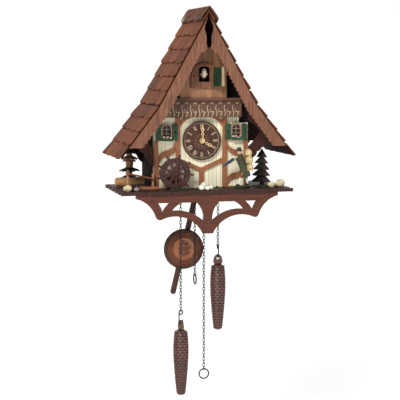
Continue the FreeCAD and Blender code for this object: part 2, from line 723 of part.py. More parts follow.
def gong():
    """Coiled wire gong on a wooden block inside the back panel: half circles of growing radius."""
    wire_r, y, h = 0.9, -10.0, 36.0
    centre_x = -32.0
    edges = []
    x_right = centre_x + 5.0
    for i in range(7):
        r = 5.0 + 2.2 * i
        start = x_right if i % 2 == 0 else x_left
        sign = -1 if i % 2 == 0 else 1
        end = start + sign * 2 * r
        mid = V((start + end) / 2, y, z(h) - sign * -r)
        edges.append(Part.Arc(V(start, y, z(h)), mid, V(end, y, z(h))).toShape())
        if i % 2 == 0:
            x_left = end
        else:
            x_right = end
    path = Part.Wire(edges)
    profile = Part.Wire([Part.Circle(V(edges[0].Vertexes[0].Point), V(0, 0, 1), wire_r).toShape()])
    coil = path.makePipeShell([profile], True, False)
    block = box(-58.0, -50.0, -16.0, BACK_Y0, 24.0, 48.0).cut(coil)
    return [coil, block]


def gong_hammer():
    """Hammer arm on its own arbor behind the back plate."""
    x, h = HAMMER_C
    arbor = rod_y(x, h, 1.2, -45.0, -24.0)
    arm = box(x - 0.8, x + 0.8, -27.0, -25.4, 64.0, h)
    head = rod_y(x, 64.0, 4.0, -30.0, -22.0)
    return arbor.fuse(arm).fuse(head).removeSplitter()


BELLOWS_Y = (-62.0, -22.0)
BELLOWS_X = (53.0, 69.0)
BELLOWS_H = 96.0


def whistle_boxes():
    """Wooden whistle pipe with the fixed half of its bellows on top, one each side."""
    pipe = box(BELLOWS_X[0], BELLOWS_X[1], -42.0, -24.0, 24.0, BELLOWS_H - 3.0)
    pipe = pipe.cut(box(BELLOWS_X[0] + 2, BELLOWS_X[1] - 2, -40.0, -26.0, 26.0, BELLOWS_H - 5.0))
    pipe = pipe.cut(box(BELLOWS_X[0] - 1, BELLOWS_X[0] + 3, -38.0, -28.0, 80.0, 84.0))
    table = box(BELLOWS_X[0], BELLOWS_X[1], *BELLOWS_Y, BELLOWS_H - 3.0, BELLOWS_H)
    return [s for one in (pipe, table) for s in both_sides(one)]


def bellows_cloth():
    xs = (BELLOWS_X[0] + 1, BELLOWS_X[1] - 1)
    return box(*xs, BELLOWS_Y[0] + 1, BELLOWS_Y[1] - 6, BELLOWS_H, BELLOWS_H + 4.0)


def bellows_top():
    """Lid of one bellows, with a rounded hinge bead along its back edge."""
    lid = box(BELLOWS_X[0], BELLOWS_X[1] - 0.6, *BELLOWS_Y, BELLOWS_H + 4.0, BELLOWS_H + 6.5)
    bead = rod_x(BELLOWS_Y[1], BELLOWS_H + 4.0, 0.9, BELLOWS_X[0], BELLOWS_X[1] - 0.6)
    return lid.fuse(bead).removeSplitter()


# ---------------------------------------------------------------- bird and door
def cuckoo_door():
    """Door leaf on a vertical pin, stored open."""
    x, y = DOOR_HINGE
    leaf = box(x - DOOR_W, x - 0.2, y - 1.8, y + 1.8, 155.0, 183.4)
    pin = rod_z(x, y, 0.7, 153.6, 184.8)
    knuckles = rod_z(x, y, 1.5, 155.0, 183.4)
    body = leaf.fuse(pin).fuse(knuckles).removeSplitter()
    body.rotate(V(x, y, 0), V(0, 0, 1), DOOR_OPEN)
    return body


def bird():
    x, y, h = BIRD_X, -90.0, 172.6
    body = ball(x, y, h - 1.6, 4.6, 6.0, 6.2)
    head = ball(x, y - 2.4, h + 5.2, 3.4, 3.8, 3.6)
    beak = Part.makeCone(1.2, 0.2, 3.0, V(x, y - 5.6, z(h + 5.0)), V(0, -1, -0.15))
    tail = box(x - 2.0, x + 2.0, y + 3.0, y + 13.0, h - 3.4, h - 1.8)
    return body.fuse(head).fuse(beak).fuse(tail).cut(lever_wire()).removeSplitter()


def lever_wire():
    """The wire that runs up into the bird."""
    y, h = BIRD_PIVOT
    return rod((BIRD_X, y - 0.7, h + 1.5), (BIRD_X, -90.0, 168.0), 0.8)


def bird_lever():
    """Wire that carries the bird, with its pivot tube."""
    y, h = BIRD_PIVOT
    tube = rod_x(y, h, 2.0, -10.0, 12.0).cut(rod_x(y, h, 1.05, -11.0, 13.0))
    return tube.fuse(lever_wire()).removeSplitter()


def bird_bracket():
    """Axle and two ears that carry the bird lever on the inner wall."""
    y, h = BIRD_PIVOT
    ears = [box(x, x + 2.0, y - 6.0, y + 3.0, h - 4.0, h + 3.5) for x in (-13.0, 13.0)]
    axle = rod_x(y, h, 1.0, -13.0, 15.0)
    body = axle
    for ear in ears:
        body = body.fuse(ear)
    return body.removeSplitter()


# ---------------------------------------------------------------- chains and weights
def chain_link():
    """One oval link standing in the X-Z plane, centred on the origin."""
    half = (CHAIN_PITCH + LINK_SLACK) / 2 + LINK_WIRE_R - LINK_BEND_R
    disc = Part.Face(Part.Wire([Part.Circle(V(LINK_BEND_R, 0, 0), V(0, 0, 1), LINK_WIRE_R).toShape()]))
    bend = disc.revolve(V(0, 0, 0), V(0, -1, 0), 180)
    bend.translate(V(0, 0, half))
    side = Part.makeCylinder(LINK_WIRE_R, 2 * half, V(LINK_BEND_R, 0, -half), V(0, 0, 1))
    other = Part.makeCylinder(LINK_WIRE_R, 2 * half, V(-LINK_BEND_R, 0, -half), V(0, 0, 1))
    lower = bend.copy()
    lower.rotate(V(0, 0, 0), V(0, 1, 0), 180)
    return bend.fuse(side).fuse(other).fuse(lower).removeSplitter()


def placed_link(link, x, h, angle, flat):
    """A copy of the link at x, h, leaning by angle, either face-on or edge-on."""
    copy = link.copy()
    if not flat:
        copy.rotate(V(0, 0, 0), V(0, 0, 1), 90)
    copy.rotate(V(0, 0, 0), V(0, 1, 0), angle)
    copy.translate(V(x, CHAIN_Y, z(h)))
    return copy


def fall(link, x, count, first_flat):
    """A hanging run of links below the wheel's height."""
    links = []
    for i in range(count):
        h = SPROCKET_H - CHAIN_PITCH * (i + 0.5)
        links.append(placed_link(link, x, h, 0, first_flat == (i % 2 == 0)))
    return links


def wrap(link, x, first_flat):
    """The links that lie over the top of the chain wheel."""
    links = []
    for i in range(WRAP_LINKS):
        a = math.pi * (i + 0.5) / WRAP_LINKS
        link_x = x - SPROCKET_R * math.cos(a)
        link_h = SPROCKET_H + SPROCKET_R * math.sin(a)
        flat = first_flat != (i % 2 == 0)
        links.append(placed_link(link, link_x, link_h, math.degrees(a), flat))
    return links


def chain_end_h(count):
    return SPROCKET_H - CHAIN_PITCH * count


HOOK_R = 3.2
HOOK_WIRE = 0.95
HOOK_DROP = 14.0


def hook(x, h_top, turn):
    """S-shaped steel hook: a closed eye, a shank and an open hook."""
    eye_h = h_top + 0.15 + HOOK_WIRE - HOOK_R
    eye = Part.makeTorus(HOOK_R, HOOK_WIRE, V(0, 0, z(eye_h)), V(0, 1, 0))
    low_h = eye_h - HOOK_DROP
    shank_r = HOOK_WIRE - 0.05
    circle = Part.Circle(V(-HOOK_R, 0, z(low_h)), V(0, 0, 1), shank_r)
    disc = Part.Face(Part.Wire([circle.toShape()]))
    bend = disc.revolve(V(0, 0, z(low_h)), V(0, -1, 0), 215)
    shank = Part.makeCylinder(shank_r, HOOK_DROP, V(-HOOK_R, 0, z(low_h)), V(0, 0, 1))
    body = eye.fuse(bend).fuse(shank).removeSplitter()
    body.rotate(V(0, 0, 0), V(0, 0, 1), turn)
    body.translate(V(x, CHAIN_Y, 0))
    return body, low_h - HOOK_R


def cone_weight(x, h_hook, turn):
    """Cast weight in the shape of a fir cone, with the flat lug that the hook holds."""
    hole_r, lug_half = 2.3, 7.6
    hole_h = h_hook + 2 * HOOK_WIRE + 0.1 - hole_r
    top = hole_h - 9.0
    lug = plate(
        (-lug_half, top + 4.0),
        [((-6.4, top + 9.5), (-3.2, hole_h + 4.6)), ((0, hole_h + 5.6), (3.2, hole_h + 4.6)),
         ((6.4, top + 9.5), (lug_half, top + 4.0)), (5.4, top - 2.0), (-5.4, top - 2.0)],
        (-1.7, 1.7),
    )
    lug = lug.cut(rod_y(0, hole_h, hole_r, -3, 3))
    profile = [(0, top), (6.0, top), (8.6, top - 3.5), ((11.4, top - 16.0), (12.4, top - 34.0)),
               ((11.2, top - 66.0), (7.0, top - 99.0)), (5.2, top - 103.5), (0, top - 103.5)]
    face = Part.Face(wire_xh(profile[0], profile[1:]))
    body = face.revolve(V(0, 0, 0), V(0, 0, 1), 360)
    body.rotate(V(0, 0, 0), V(0, 0, 1), 40)
    body = body.fuse(lug)
    body.rotate(V(0, 0, 0), V(0, 0, 1), turn)
    body.translate(V(x, CHAIN_Y, 0))
    return body


def pull_ring(x, h_end, turn):
    r = 7.6
    ring = Part.makeTorus(r, 1.05, V(0, 0, 0), V(0, 1, 0))
    ring.rotate(V(0, 0, 0), V(0, 0, 1), turn)
    ring.translate(V(x, CHAIN_Y, z(h_end - r + 1.05 + 0.5)))
    return ring


LEFT_WEIGHT_LINKS, LEFT_RING_LINKS = 43, 32
RIGHT_WEIGHT_LINKS, RIGHT_RING_LINKS = 23, 62


# ---------------------------------------------------------------- scenery on the deck
def water_wheel():
    """Two rims joined by spokes that run out as pegs, on a long axle through the facade."""
    x, h = WHEEL_C
    body = None
    for ys in ((WHEEL_Y[0], WHEEL_Y[0] + 2.2), (WHEEL_Y[1] - 2.2, WHEEL_Y[1])):
        rim = rod_y(x, h, 22.8, *ys).cut(rod_y(x, h, 15.0, ys[0] - 1, ys[1] + 1))
        body = rim if body is None else body.fuse(rim)
    for i in range(WHEEL_PEGS):
        a = 360.0 / WHEEL_PEGS * i + 15.0
        spoke = box(x - 1.3, x + 1.3, WHEEL_Y[0] + 1.0, WHEEL_Y[1] - 1.0, h, h + PEG_R)
        spoke.rotate(V(x, 0, z(h)), V(0, 1, 0), a)
        body = body.fuse(spoke)
    hub = rod_y(x, h, 4.6, WHEEL_Y[0] - 2.0, WHEEL_Y[1] + 1.0)
    axle = rod_y(x, h, 1.4, WHEEL_Y[0] - 3.5, -74.0)
    return body.fuse(hub).fuse(axle).removeSplitter()


def fir_tree(x, y, height, r_max, tiers):
    """Carved fir: stacked skirts that narrow towards the top, on a short trunk."""
    body = rod_z(x, y, 2.4, DECK_TOP, DECK_TOP + height * 0.9)
    skirt_h = height / (tiers + 0.6)
    for i in range(tiers):
        r = r_max * (1 - 0.72 * i / (tiers - 1))
        base = DECK_TOP + 7.0 + i * (height - 7.0 - skirt_h) / (tiers - 1) * 0.98
        cone = Part.makeCone(r, r * 0.30, skirt_h * 1.05, V(x, y, z(base)), V(0, 0, 1))
        body = body.fuse(cone)
    foot = Part.makeCone(6.0, 4.0, 3.0, V(x, y, z(DECK_TOP)), V(0, 0, 1))
    return body.fuse(foot).removeSplitter()


def log_stack():
    """A thick round log at the back of the deck's left end and two thin ones at its front."""
    thick = rod_x(-44.4, DECK_TOP + 7.3, 7.3, -124.0, -80.0)
    thin = [rod_x(y, DECK_TOP + 3.0, 3.0, x, x + 26.5) for x, y in ((-98.5, -101.4), (-97.0, -107.9))]
    return [thick] + thin


def water_chute():
    """Hollowed half log that slopes to the wheel, on a forked post."""
    y = -98.6
    a, b = (-118.0, y, 30.4), (-75.4, y, 20.4)
    chute = rod(a, b, 3.2)
    groove = rod((-122.0, y, 33.4), (-71.0, y, 21.4), 1.9)
    chute = chute.cut(groove)
    right_post = rod_z(-76.0, -93.0, 2.2, DECK_TOP, 26.4)
    left_post = rod_z(-114.0, -93.0, 2.2, DECK_TOP, 33.0)
    return [chute, right_post, left_post]


def stones():
    """Painted pebbles glued along the deck's front edge."""
    spots = [
        (-118.5, -115.0, 6.8, 5.0), (-105.0, -112.5, 4.2, 3.0), (-9.4, -122.8, 4.6, 4.4),
        (-0.6, -123.6, 3.8, 3.6), (5.6, -119.0, 3.6, 3.6), (-4.0, -114.6, 4.6, 6.0),
        (103.0, -109.0, 5.6, 4.8), (118.0, -106.0, 7.4, 6.2),
    ]
    pebbles = []
    for x, y, r, rh in spots:
        pebble = ball(x, y, DECK_TOP + rh - 0.4, r, r * 0.9, rh)
        pebbles.append(pebble.cut(box(x - 12, x + 12, y - 12, y + 12, -9, DECK_TOP)))
    return pebbles


def peddler():
    """Walking figure on a low base: legs, coat, arm, head, hat and a furled umbrella in the hand."""
    x, y = 55.5, -104.0
    foot_h = DECK_TOP + 3.8
    pieces = [
        box(44.0, 74.0, y - 7.0, y + 6.0, DECK_TOP, DECK_TOP + 4.0),
        rod((x - 4.5, y, foot_h), (x + 2.4, y, 26.0), 2.0),
        rod((x + 12.6, y + 1.0, foot_h), (x + 7.2, y, 24.0), 2.0),
        Part.makeCone(6.8, 4.5, 34.0, V(x + 6.0, y, z(20.0)), V(-0.22, 0, 1)),
        ball(x - 1.6, y, 56.5, 3.5, 3.6, 4.4),
        Part.makeCone(5.2, 2.6, 4.6, V(x - 2.0, y, z(59.8)), V(-0.1, 0, 1)),
        rod((x + 0.5, y - 2.5, 49.0), (x - 11.2, y - 4.5, 46.8), 1.8),
        Part.makeCone(0.6, 2.5, 25.0, V(25.6, y - 4.5, z(35.0)), V(0.81, 0, 0.52)),
    ]
    figure = pieces[0]
    for piece in pieces[1:]:
        figure = figure.fuse(piece)
    return figure.removeSplitter()


def peddler_pack(figure):
    """Carrying frame on the figure's back, with small clocks tied to it."""
    frame = plate((58.0, 34.0), [(66.0, 28.0), (75.5, 30.0), (74.0, 60.0), (61.0, 61.0)], (-108.0, -100.0))
    clocks = [rod_y(x, h, 3.2, -110.2, -108.0) for x, h in ((69.8, 40.0), (68.4, 53.0))]
    return [frame.cut(figure)] + clocks


def case_screws():
    """Wood screws: back panel corners and the hanger plate."""
    screws = []
    for x, h in ((-64.0, 12.0), (64.0, 12.0), (-64.0, 118.0), (64.0, 118.0)):
        screws.append(rod_y(x, h, 2.6, WALL - 0.8, WALL))
    for x in (-9.5, 9.5):
        screws.append(rod_y(x, 205.0, 1.6, WALL - 0.9, WALL))
    return screws


# ---------------------------------------------------------------- build
def main():
    os.makedirs("parts", exist_ok=True)
    screws = case_screws()
    back, plate_steel = back_panel(), hanger_plate()
    for screw in screws:
        back = back.cut(screw)
        plate_steel = plate_steel.cut(screw)
    save("back_panel", back)
    save("hanger_plate", plate_steel)
    save("case_screws", screws)
    save("side_panels", side_panels())
    save("inner_front_wall", inner_front_wall())
    save("facade_panel", facade_panel())
    save("timber_framing", timber_framing())
    save("window_frames", window_frames())
    save("shutters", shutters())
    save("deck", deck())
    save("base_bracket", base_bracket())
    save("roof_boards", roof_boards())
    courses = shingle_courses()
    save("shingles", courses + [mirrored(c) for c in courses])
    save("ridge_shingles", ridge_cap())
    save("barge_boards", barge_boards())
    save("knee_braces", knee_braces())
    save("gable_panel", gable_panel())
    save("door_frame", door_frame())
    save("balcony", balcony())
    save("dial", dial())
    save("minute_hand", hand(23.0, 2.9, 1.25, -94.3, 1.0, 0.0))
    save("hour_hand", hand(18.0, 4.3, 3.25, -92.2, 1.0, 120.0))
    centre_arbor, minute_wheel, hour_wheel = motion_work()
    save("centre_arbor", centre_arbor)
    save("minute_wheel", minute_wheel)
    save("hour_wheel", hour_wheel)
    save("movement_frame", movement_frame())
    save("going_chain_wheel", chain_wheel(RIGHT_SPROCKET_X))
    save("strike_chain_wheel", chain_wheel(LEFT_SPROCKET_X))
    save("escape_wheel", escape_wheel())
    save("anchor", anchor())
    save("pendulum_rod", pendulum_rod())
    save("pendulum_disc", pendulum_disc())
    save("gong", gong())
    save("gong_hammer", gong_hammer())
    save("whistle_boxes", whistle_boxes())
    save("bellows_cloth_right", bellows_cloth())
    save("bellows_cloth_left", mirrored(bellows_cloth()))
    save("bellows_top_right", bellows_top())
    save("bellows_top_left", mirrored(bellows_top()))
    save("cuckoo_door", cuckoo_door())
    save("bird", bird())
    save("bird_lever", bird_lever())
    save("bird_bracket", bird_bracket())
    link = chain_link()
    for side, x, first_flat, n_weight, n_ring, hook_turn, ring_turn in (
        ("left", LEFT_SPROCKET_X, False, LEFT_WEIGHT_LINKS, LEFT_RING_LINKS, 18.0, 90.0),
        ("right", RIGHT_SPROCKET_X, True, RIGHT_WEIGHT_LINKS, RIGHT_RING_LINKS, 90.0, 0.0),
    ):
        out = -1 if side == "left" else 1
        weight_x, ring_x = x + out * SPROCKET_R, x - out * SPROCKET_R
        weight_side = wrap(link, x, first_flat) + fall(link, weight_x, n_weight, first_flat)
        save(f"{side}_chain_weight_side", weight_side)
        save(f"{side}_chain_ring_side", fall(link, ring_x, n_ring, first_flat))
        hook_shape, hook_h = hook(weight_x, chain_end_h(n_weight), hook_turn)
        save(f"{side}_weight_hook", hook_shape)
        save(f"{side}_cone_weight", cone_weight(weight_x, hook_h, hook_turn + 90.0))
        save(f"{side}_pull_ring", pull_ring(ring_x, chain_end_h(n_ring), ring_turn))
    save("water_wheel", water_wheel())
    left_fir = fir_tree(-97.0, -20.0, 62.0, 16.6, 4)
    right_fir = fir_tree(100.0, -72.0, 57.0, 15.0, 5)
    save("fir_trees", [left_fir, right_fir])
    save("log_stack", log_stack())
    save("water_chute", water_chute())
    save("stones", stones())
    figure = peddler()
    save("peddler_figure", figure)
    save("peddler_pack", peddler_pack(figure))


main()
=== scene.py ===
import math
import random

import bmesh
import bpy
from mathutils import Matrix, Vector, noise


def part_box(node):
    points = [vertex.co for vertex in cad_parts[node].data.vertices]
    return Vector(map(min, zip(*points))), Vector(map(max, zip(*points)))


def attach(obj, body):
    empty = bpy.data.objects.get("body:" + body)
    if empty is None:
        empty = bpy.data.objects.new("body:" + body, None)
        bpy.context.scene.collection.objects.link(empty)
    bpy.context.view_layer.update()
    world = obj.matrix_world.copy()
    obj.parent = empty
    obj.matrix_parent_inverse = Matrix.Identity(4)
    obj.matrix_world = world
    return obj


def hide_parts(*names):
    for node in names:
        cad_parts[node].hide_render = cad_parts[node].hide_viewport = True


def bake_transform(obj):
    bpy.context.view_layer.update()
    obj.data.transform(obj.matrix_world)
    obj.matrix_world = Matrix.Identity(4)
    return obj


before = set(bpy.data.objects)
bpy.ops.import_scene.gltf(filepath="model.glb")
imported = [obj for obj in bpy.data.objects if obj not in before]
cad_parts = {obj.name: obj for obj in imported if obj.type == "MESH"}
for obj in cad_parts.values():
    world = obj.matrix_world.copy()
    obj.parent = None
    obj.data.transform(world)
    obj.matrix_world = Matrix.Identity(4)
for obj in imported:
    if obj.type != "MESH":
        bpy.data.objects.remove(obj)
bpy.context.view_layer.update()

MM = 0.001
DECK = -205.0            # height of the plane that heights below are measured from, in mm
rng = random.Random(11)


# ---------------------------------------------------------------- camera and light
camera = bpy.data.objects.new("camera", bpy.data.cameras.new("camera"))
camera.data.lens = 105.83
camera.data.sensor_width = 36.0
camera.location = (-0.4537, -1.7878, -0.0199)
camera.rotation_euler = (math.radians(90 - 6.51), 0.0, math.radians(-14.86))
bpy.context.scene.collection.objects.link(camera)
bpy.context.scene.camera = camera


def area_light(name, location, target, size, power):
    lamp = bpy.data.lights.new(name, "AREA")
    lamp.shape = "DISK"
    lamp.size = size
    lamp.energy = power
    obj = bpy.data.objects.new(name, lamp)
    obj.location = location
    aim = Vector(target) - Vector(location)
    obj.rotation_euler = aim.to_track_quat("-Z", "Y").to_euler()
    bpy.context.scene.collection.objects.link(obj)


area_light("key_light", (-1.3, -2.0, 1.3), (0, -0.05, -0.15), 0.8, 62.0)
area_light("fill_light", (1.7, -1.7, 0.3), (0, -0.05, -0.2), 1.6, 10.0)
area_light("top_light", (0.0, 0.4, 1.9), (0, -0.05, -0.1), 1.2, 10.0)

world = bpy.data.worlds.new("studio")
bpy.context.scene.world = world
world.use_nodes = True
background = world.node_tree.nodes["Background"].inputs
background["Color"].default_value = (1.0, 1.0, 1.0, 1.0)
background["Strength"].default_value = 0.30
bpy.context.scene.view_settings.view_transform = "Standard"


# ---------------------------------------------------------------- materials
BUMP_REACH = 0.0005                                  # metres
ALONG = {"X": (0.07, 1, 1), "Z": (1, 1, 0.07)}       # draws the noise out along the grain


class Nodes:
    """A short way to write a node tree."""

    def __init__(self, name):
        self.material = bpy.data.materials.new(name)
        self.material.use_nodes = True
        self.tree = self.material.node_tree
        self.bsdf = self.tree.nodes["Principled BSDF"]
        self.coords = self.tree.nodes.new("ShaderNodeTexCoord").outputs["Object"]

    def add(self, kind, inputs=(), **settings):
        node = self.tree.nodes.new(kind)
        for key, value in settings.items():
            setattr(node, key, value)
        for key, value in dict(inputs).items():
            if isinstance(value, bpy.types.NodeSocket):
                self.tree.links.new(value, node.inputs[key])
            else:
                node.inputs[key].default_value = value
        return node

    def mapped(self, scale):
        return self.add("ShaderNodeMapping", {"Vector": self.coords, "Scale": scale}).outputs["Vector"]

    def noise(self, vector, scale, detail=4.0, distortion=0.0, roughness=0.55):
        return self.add("ShaderNodeTexNoise", {
            "Vector": vector, "Scale": scale, "Detail": detail,
            "Distortion": distortion, "Roughness": roughness}).outputs["Fac"]

    def ramp(self, fac, stops):
        node = self.add("ShaderNodeValToRGB", {"Fac": fac})
        elements = node.color_ramp.elements
        while len(elements) < len(stops):
            elements.new(0.5)
        for element, (place, colour) in zip(elements, stops):
            element.position = place
            element.color = (*colour, 1.0)
        return node.outputs["Color"]

    def maths(self, operation, a, b=0.5):
        return self.add("ShaderNodeMath", {0: a, 1: b}, operation=operation).outputs[0]

    def mix(self, fac, a, b):
        node = self.add("ShaderNodeMix", data_type="RGBA")
        for index, value in ((0, fac), (6, a), (7, b)):
            if isinstance(value, bpy.types.NodeSocket):
                self.tree.links.new(value, node.inputs[index])
            else:
                node.inputs[index].default_value = value if index == 0 else (*value, 1.0)
        return node.outputs[2]

    def range(self, fac, low, high):
        inputs = {"Value": fac, "To Min": low, "To Max": high}
        return self.add("ShaderNodeMapRange", inputs).outputs["Result"]

    def finish(self, colour, rough, height=None, bump=0.3, distance=0.0004, **constants):
        self.tree.links.new(colour, self.bsdf.inputs["Base Color"])
        self.tree.links.new(rough, self.bsdf.inputs["Roughness"])
        if height is not None:
            inputs = {"Height": height, "Strength": bump, "Distance": distance}
            node = self.add("ShaderNodeBump", inputs)
            self.tree.links.new(node.outputs["Normal"], self.bsdf.inputs["Normal"])
        for key, value in constants.items():
            self.bsdf.inputs[key.replace("_", " ")].default_value = value
        return self.material


def shade(colour, factor):
    return tuple(min(1.0, c * factor) for c in colour)


def wood(name, colour, grain="Z", rough=0.5, contrast=0.35, scale=1.0, bump=0.35, dirt=0.5,
         coat=0.0, vary=0.0):
    """Stained wood: grain, pores and blotches; vary gives each separate board its own tone."""
    n = Nodes(name)
    vector = n.mapped(tuple(a * 100.0 * scale for a in ALONG[grain]))
    wide = n.noise(vector, 3.0, 3.0, 1.2)
    fine = n.noise(vector, 16.0, 5.0, 0.4, 0.7)
    total = n.maths("ADD", n.maths("MULTIPLY", wide, 0.65), n.maths("MULTIPLY", fine, 0.35))
    tone = n.ramp(total, [(0.32, shade(colour, 1 - contrast)), (0.50, colour),
                          (0.66, shade(colour, 1 + contrast * 0.9))])
    blotch = n.noise(n.mapped((1, 1, 1)), 42.0, 3.0, 0.3)
    shaded = n.mix(n.range(blotch, 0.0, dirt), tone, shade(colour, 0.55))
    if vary:
        island = n.add("ShaderNodeNewGeometry").outputs["Random Per Island"]
        shaded = n.mix(n.range(island, 0.0, vary), shaded, shade(colour, 0.42))
        other = n.maths("FRACT", n.maths("MULTIPLY", island, 7.31))
        warm = (colour[0] * 1.5, colour[1] * 1.35, colour[2] * 1.1)
        shaded = n.mix(n.range(other, 0.0, vary * 0.6), shaded, warm)
    height = n.maths("ADD", fine, n.maths("MULTIPLY", wide, 0.6))
    return n.finish(shaded, n.range(fine, rough - 0.1, rough + 0.16), height, bump, BUMP_REACH,
                    Coat_Weight=coat, Coat_Roughness=0.3, Specular_IOR_Level=0.3)


def relief(name, dark, light, rough, coat):
    """Stained carving, dark in the hollows and light on the tips after a value stored on the mesh: partly the
    finish's own tones, partly painted shade in the hollows and painted highlights on the tips.
    """
    n = Nodes(name)
    height = n.add("ShaderNodeAttribute", attribute_name="relief").outputs["Fac"]
    fine = n.noise(n.mapped((100.0, 100.0, 12.0)), 14.0, 5.0, 0.5, 0.7)
    cloudy = n.noise(n.mapped((1, 1, 1)), 60.0, 3.0, 0.3)
    level = n.maths("ADD", height, n.maths("MULTIPLY", n.maths("SUBTRACT", cloudy, 0.5), 0.5))
    middle = tuple((a + b) / 2 for a, b in zip(dark, light))
    tone = n.ramp(level, [(0.12, dark), (0.55, middle), (0.95, light)])
    tone = n.mix(n.range(fine, 0.0, 0.45), tone, shade(dark, 1.2))
    return n.finish(tone, n.range(fine, rough - 0.08, rough + 0.2), fine, 0.3, 0.0004,
                    Coat_Weight=coat, Coat_Roughness=0.28)


def paint(name, colour, rough=0.5, variation=0.12, bump=0.25, scale=1.0, worn=None, coat=0.0):
    """Brushed paint: slight mottling, brush marks and thin spots where the ground shows."""
    n = Nodes(name)
    plain = n.mapped((1, 1, 1))
    cloudy = n.noise(plain, 90.0 * scale, 4.0, 0.4)
    brush = n.noise(n.mapped((1, 1, 0.12)), 900.0 * scale, 3.0, 0.6)
    tone = n.ramp(cloudy, [(0.30, shade(colour, 1 - variation)), (0.5, colour),
                           (0.72, shade(colour, 1 + variation * 0.8))])
    if worn:
        speckle = n.noise(plain, 260.0 * scale, 6.0, 0.8, 0.75)
        tone = n.mix(n.ramp(speckle, [(0.60, (0, 0, 0)), (0.68, (1, 1, 1))]), tone, worn)
    return n.finish(tone, n.range(cloudy, rough - 0.08, rough + 0.14), brush, bump, 0.0003,
                    Coat_Weight=coat, Coat_Roughness=0.25)


def metal(name, colour, rough=0.32, tarnish=(0.2, 0.18, 0.16), amount=0.35):
    """Metal with fine scratches, cloudy tarnish and uneven polish."""
    n = Nodes(name)
    plain = n.mapped((1, 1, 1))
    cloud = n.noise(plain, 180.0, 5.0, 0.5)
    scratch = n.noise(n.mapped((1, 1, 0.05)), 2200.0, 2.0, 0.2)
    tone = n.mix(n.range(cloud, 0.0, amount), colour, tarnish)
    return n.finish(tone, n.range(scratch, rough - 0.1, rough + 0.18), scratch, 0.15, 0.0001,
                    Metallic=1.0)


def planked(name, colour, groove, pitch, axis, grain, rough, depth):
    """Boards side by side: a dark joint every pitch mm along the axis, and a tone for each board."""
    n = Nodes(name)
    split = n.add("ShaderNodeSeparateXYZ", {"Vector": n.coords}).outputs[axis]
    steps = n.maths("MULTIPLY", split, 1000.0 / pitch)
    fract = n.maths("FRACT", steps)
    edge = n.maths("ABSOLUTE", n.maths("SUBTRACT", fract, 0.5))
    joint = n.ramp(edge, [(0.43, (0, 0, 0)), (0.485, (1, 1, 1))])
    board = n.add("ShaderNodeTexWhiteNoise", {"W": n.maths("FLOOR", steps)}, noise_dimensions="1D")
    fine = n.noise(n.mapped(tuple(a * 100.0 for a in ALONG[grain])), 14.0, 5.0, 0.5, 0.7)
    tone = n.ramp(fine, [(0.3, shade(colour, 0.82)), (0.5, colour), (0.7, shade(colour, 1.12))])
    tone = n.mix(n.range(board.outputs["Value"], 0.0, 0.22), tone, shade(colour, 0.6))
    tone = n.mix(joint, tone, groove)
    height = n.maths("SUBTRACT", n.maths("MULTIPLY", fine, 0.25), joint)
    return n.finish(tone, n.range(fine, rough - 0.08, rough + 0.14), height, depth, 0.0006)


SHINGLE = wood("shingle_wood", (0.170, 0.050, 0.018), "Z", 0.75, 0.95, 1.4, 0.9, 0.55, 0.0, 0.9)
RIDGE = wood("ridge_wood", (0.150, 0.068, 0.044), "Z", 0.60, 0.80, 0.9, 0.5, 0.5, 0.0, 0.9)
TIMBER = wood("timber_wood", (0.340, 0.128, 0.056), "Z", 0.55, 0.50, 1.2, 0.35, 0.5)
TIMBER_X = wood("timber_wood_level", (0.125, 0.042, 0.020), "X", 0.50, 0.40, 1.2, 0.35, 0.35, 0.1)
BARGE = wood("barge_wood", (0.205, 0.084, 0.046), "Z", 0.60, 0.70, 1.2, 0.4, 0.55)
BRACE = wood("brace_wood", (0.052, 0.0125, 0.007), "Z", 0.65, 0.55, 1.2, 0.4, 0.45)
CASE = wood("case_wood", (0.024, 0.0060, 0.0036), "Z", 0.80, 0.45, 1.0, 0.3, 0.4)
CASE.node_tree.nodes["Principled BSDF"].inputs["Specular IOR Level"].default_value = 0.08
# near black: partly the inner wall's own dark stain, partly painted shade for the dark gaps round the facade
INNER = wood("inner_wood", (0.012, 0.008, 0.007), "X", 0.8, 0.35, 1.0, 0.3, 0.4)
BRACKET = wood("bracket_wood", (0.100, 0.0255, 0.0115), "X", 0.45, 0.65, 1.2, 0.4, 0.45, 0.15)
DECK_WOOD = wood("deck_wood", (0.042, 0.0125, 0.0080), "X", 0.55, 0.55, 1.3, 0.4, 0.5, 0.05)
CARVING = wood("carving_wood", (0.150, 0.076, 0.050), "X", 0.6, 0.5, 1.4, 0.4, 0.5)
GABLE = wood("gable_wood", (0.400, 0.190, 0.098), "Z", 0.5, 0.75, 0.5, 0.3, 0.9, 0.1)
PLASTER = planked("plaster_paint", (0.92, 0.86, 0.62), (0.56, 0.43, 0.24), 6.1, 0, "Z", 0.6, 0.5)
TAN = paint("tan_paint", (0.34, 0.20, 0.13), 0.55, 0.25, 0.3, 1.0, (0.16, 0.09, 0.055))
DOOR_GREEN = paint("door_paint", (0.004, 0.022, 0.006), 0.5, 0.5, 0.4, 1.2, (0.002, 0.006, 0.002))
GREEN = paint("green_paint", (0.013, 0.062, 0.022), 0.42, 0.35, 0.35, 1.0, (0.008, 0.022, 0.010))
CREAM = paint("cream_paint", (0.70, 0.56, 0.34), 0.5, 0.10, 0.2, 1.0)
WHITE = paint("white_paint", (0.84, 0.80, 0.68), 0.5, 0.12, 0.2, 1.0)
RED = paint("red_paint", (0.40, 0.04, 0.02), 0.45, 0.15, 0.2, 1.0)
DIAL = wood("dial_wood", (0.064, 0.022, 0.014), "Z", 0.42, 0.35, 1.2, 0.25, 0.3, 0.2)
BONE = paint("bone_plastic", (0.66, 0.46, 0.22), 0.35, 0.08, 0.1, 1.0, None, 0.3)
BRASS = metal("brass", (0.72, 0.50, 0.20), 0.28, (0.25, 0.15, 0.06))
STEEL = metal("steel", (0.60, 0.60, 0.60), 0.30)
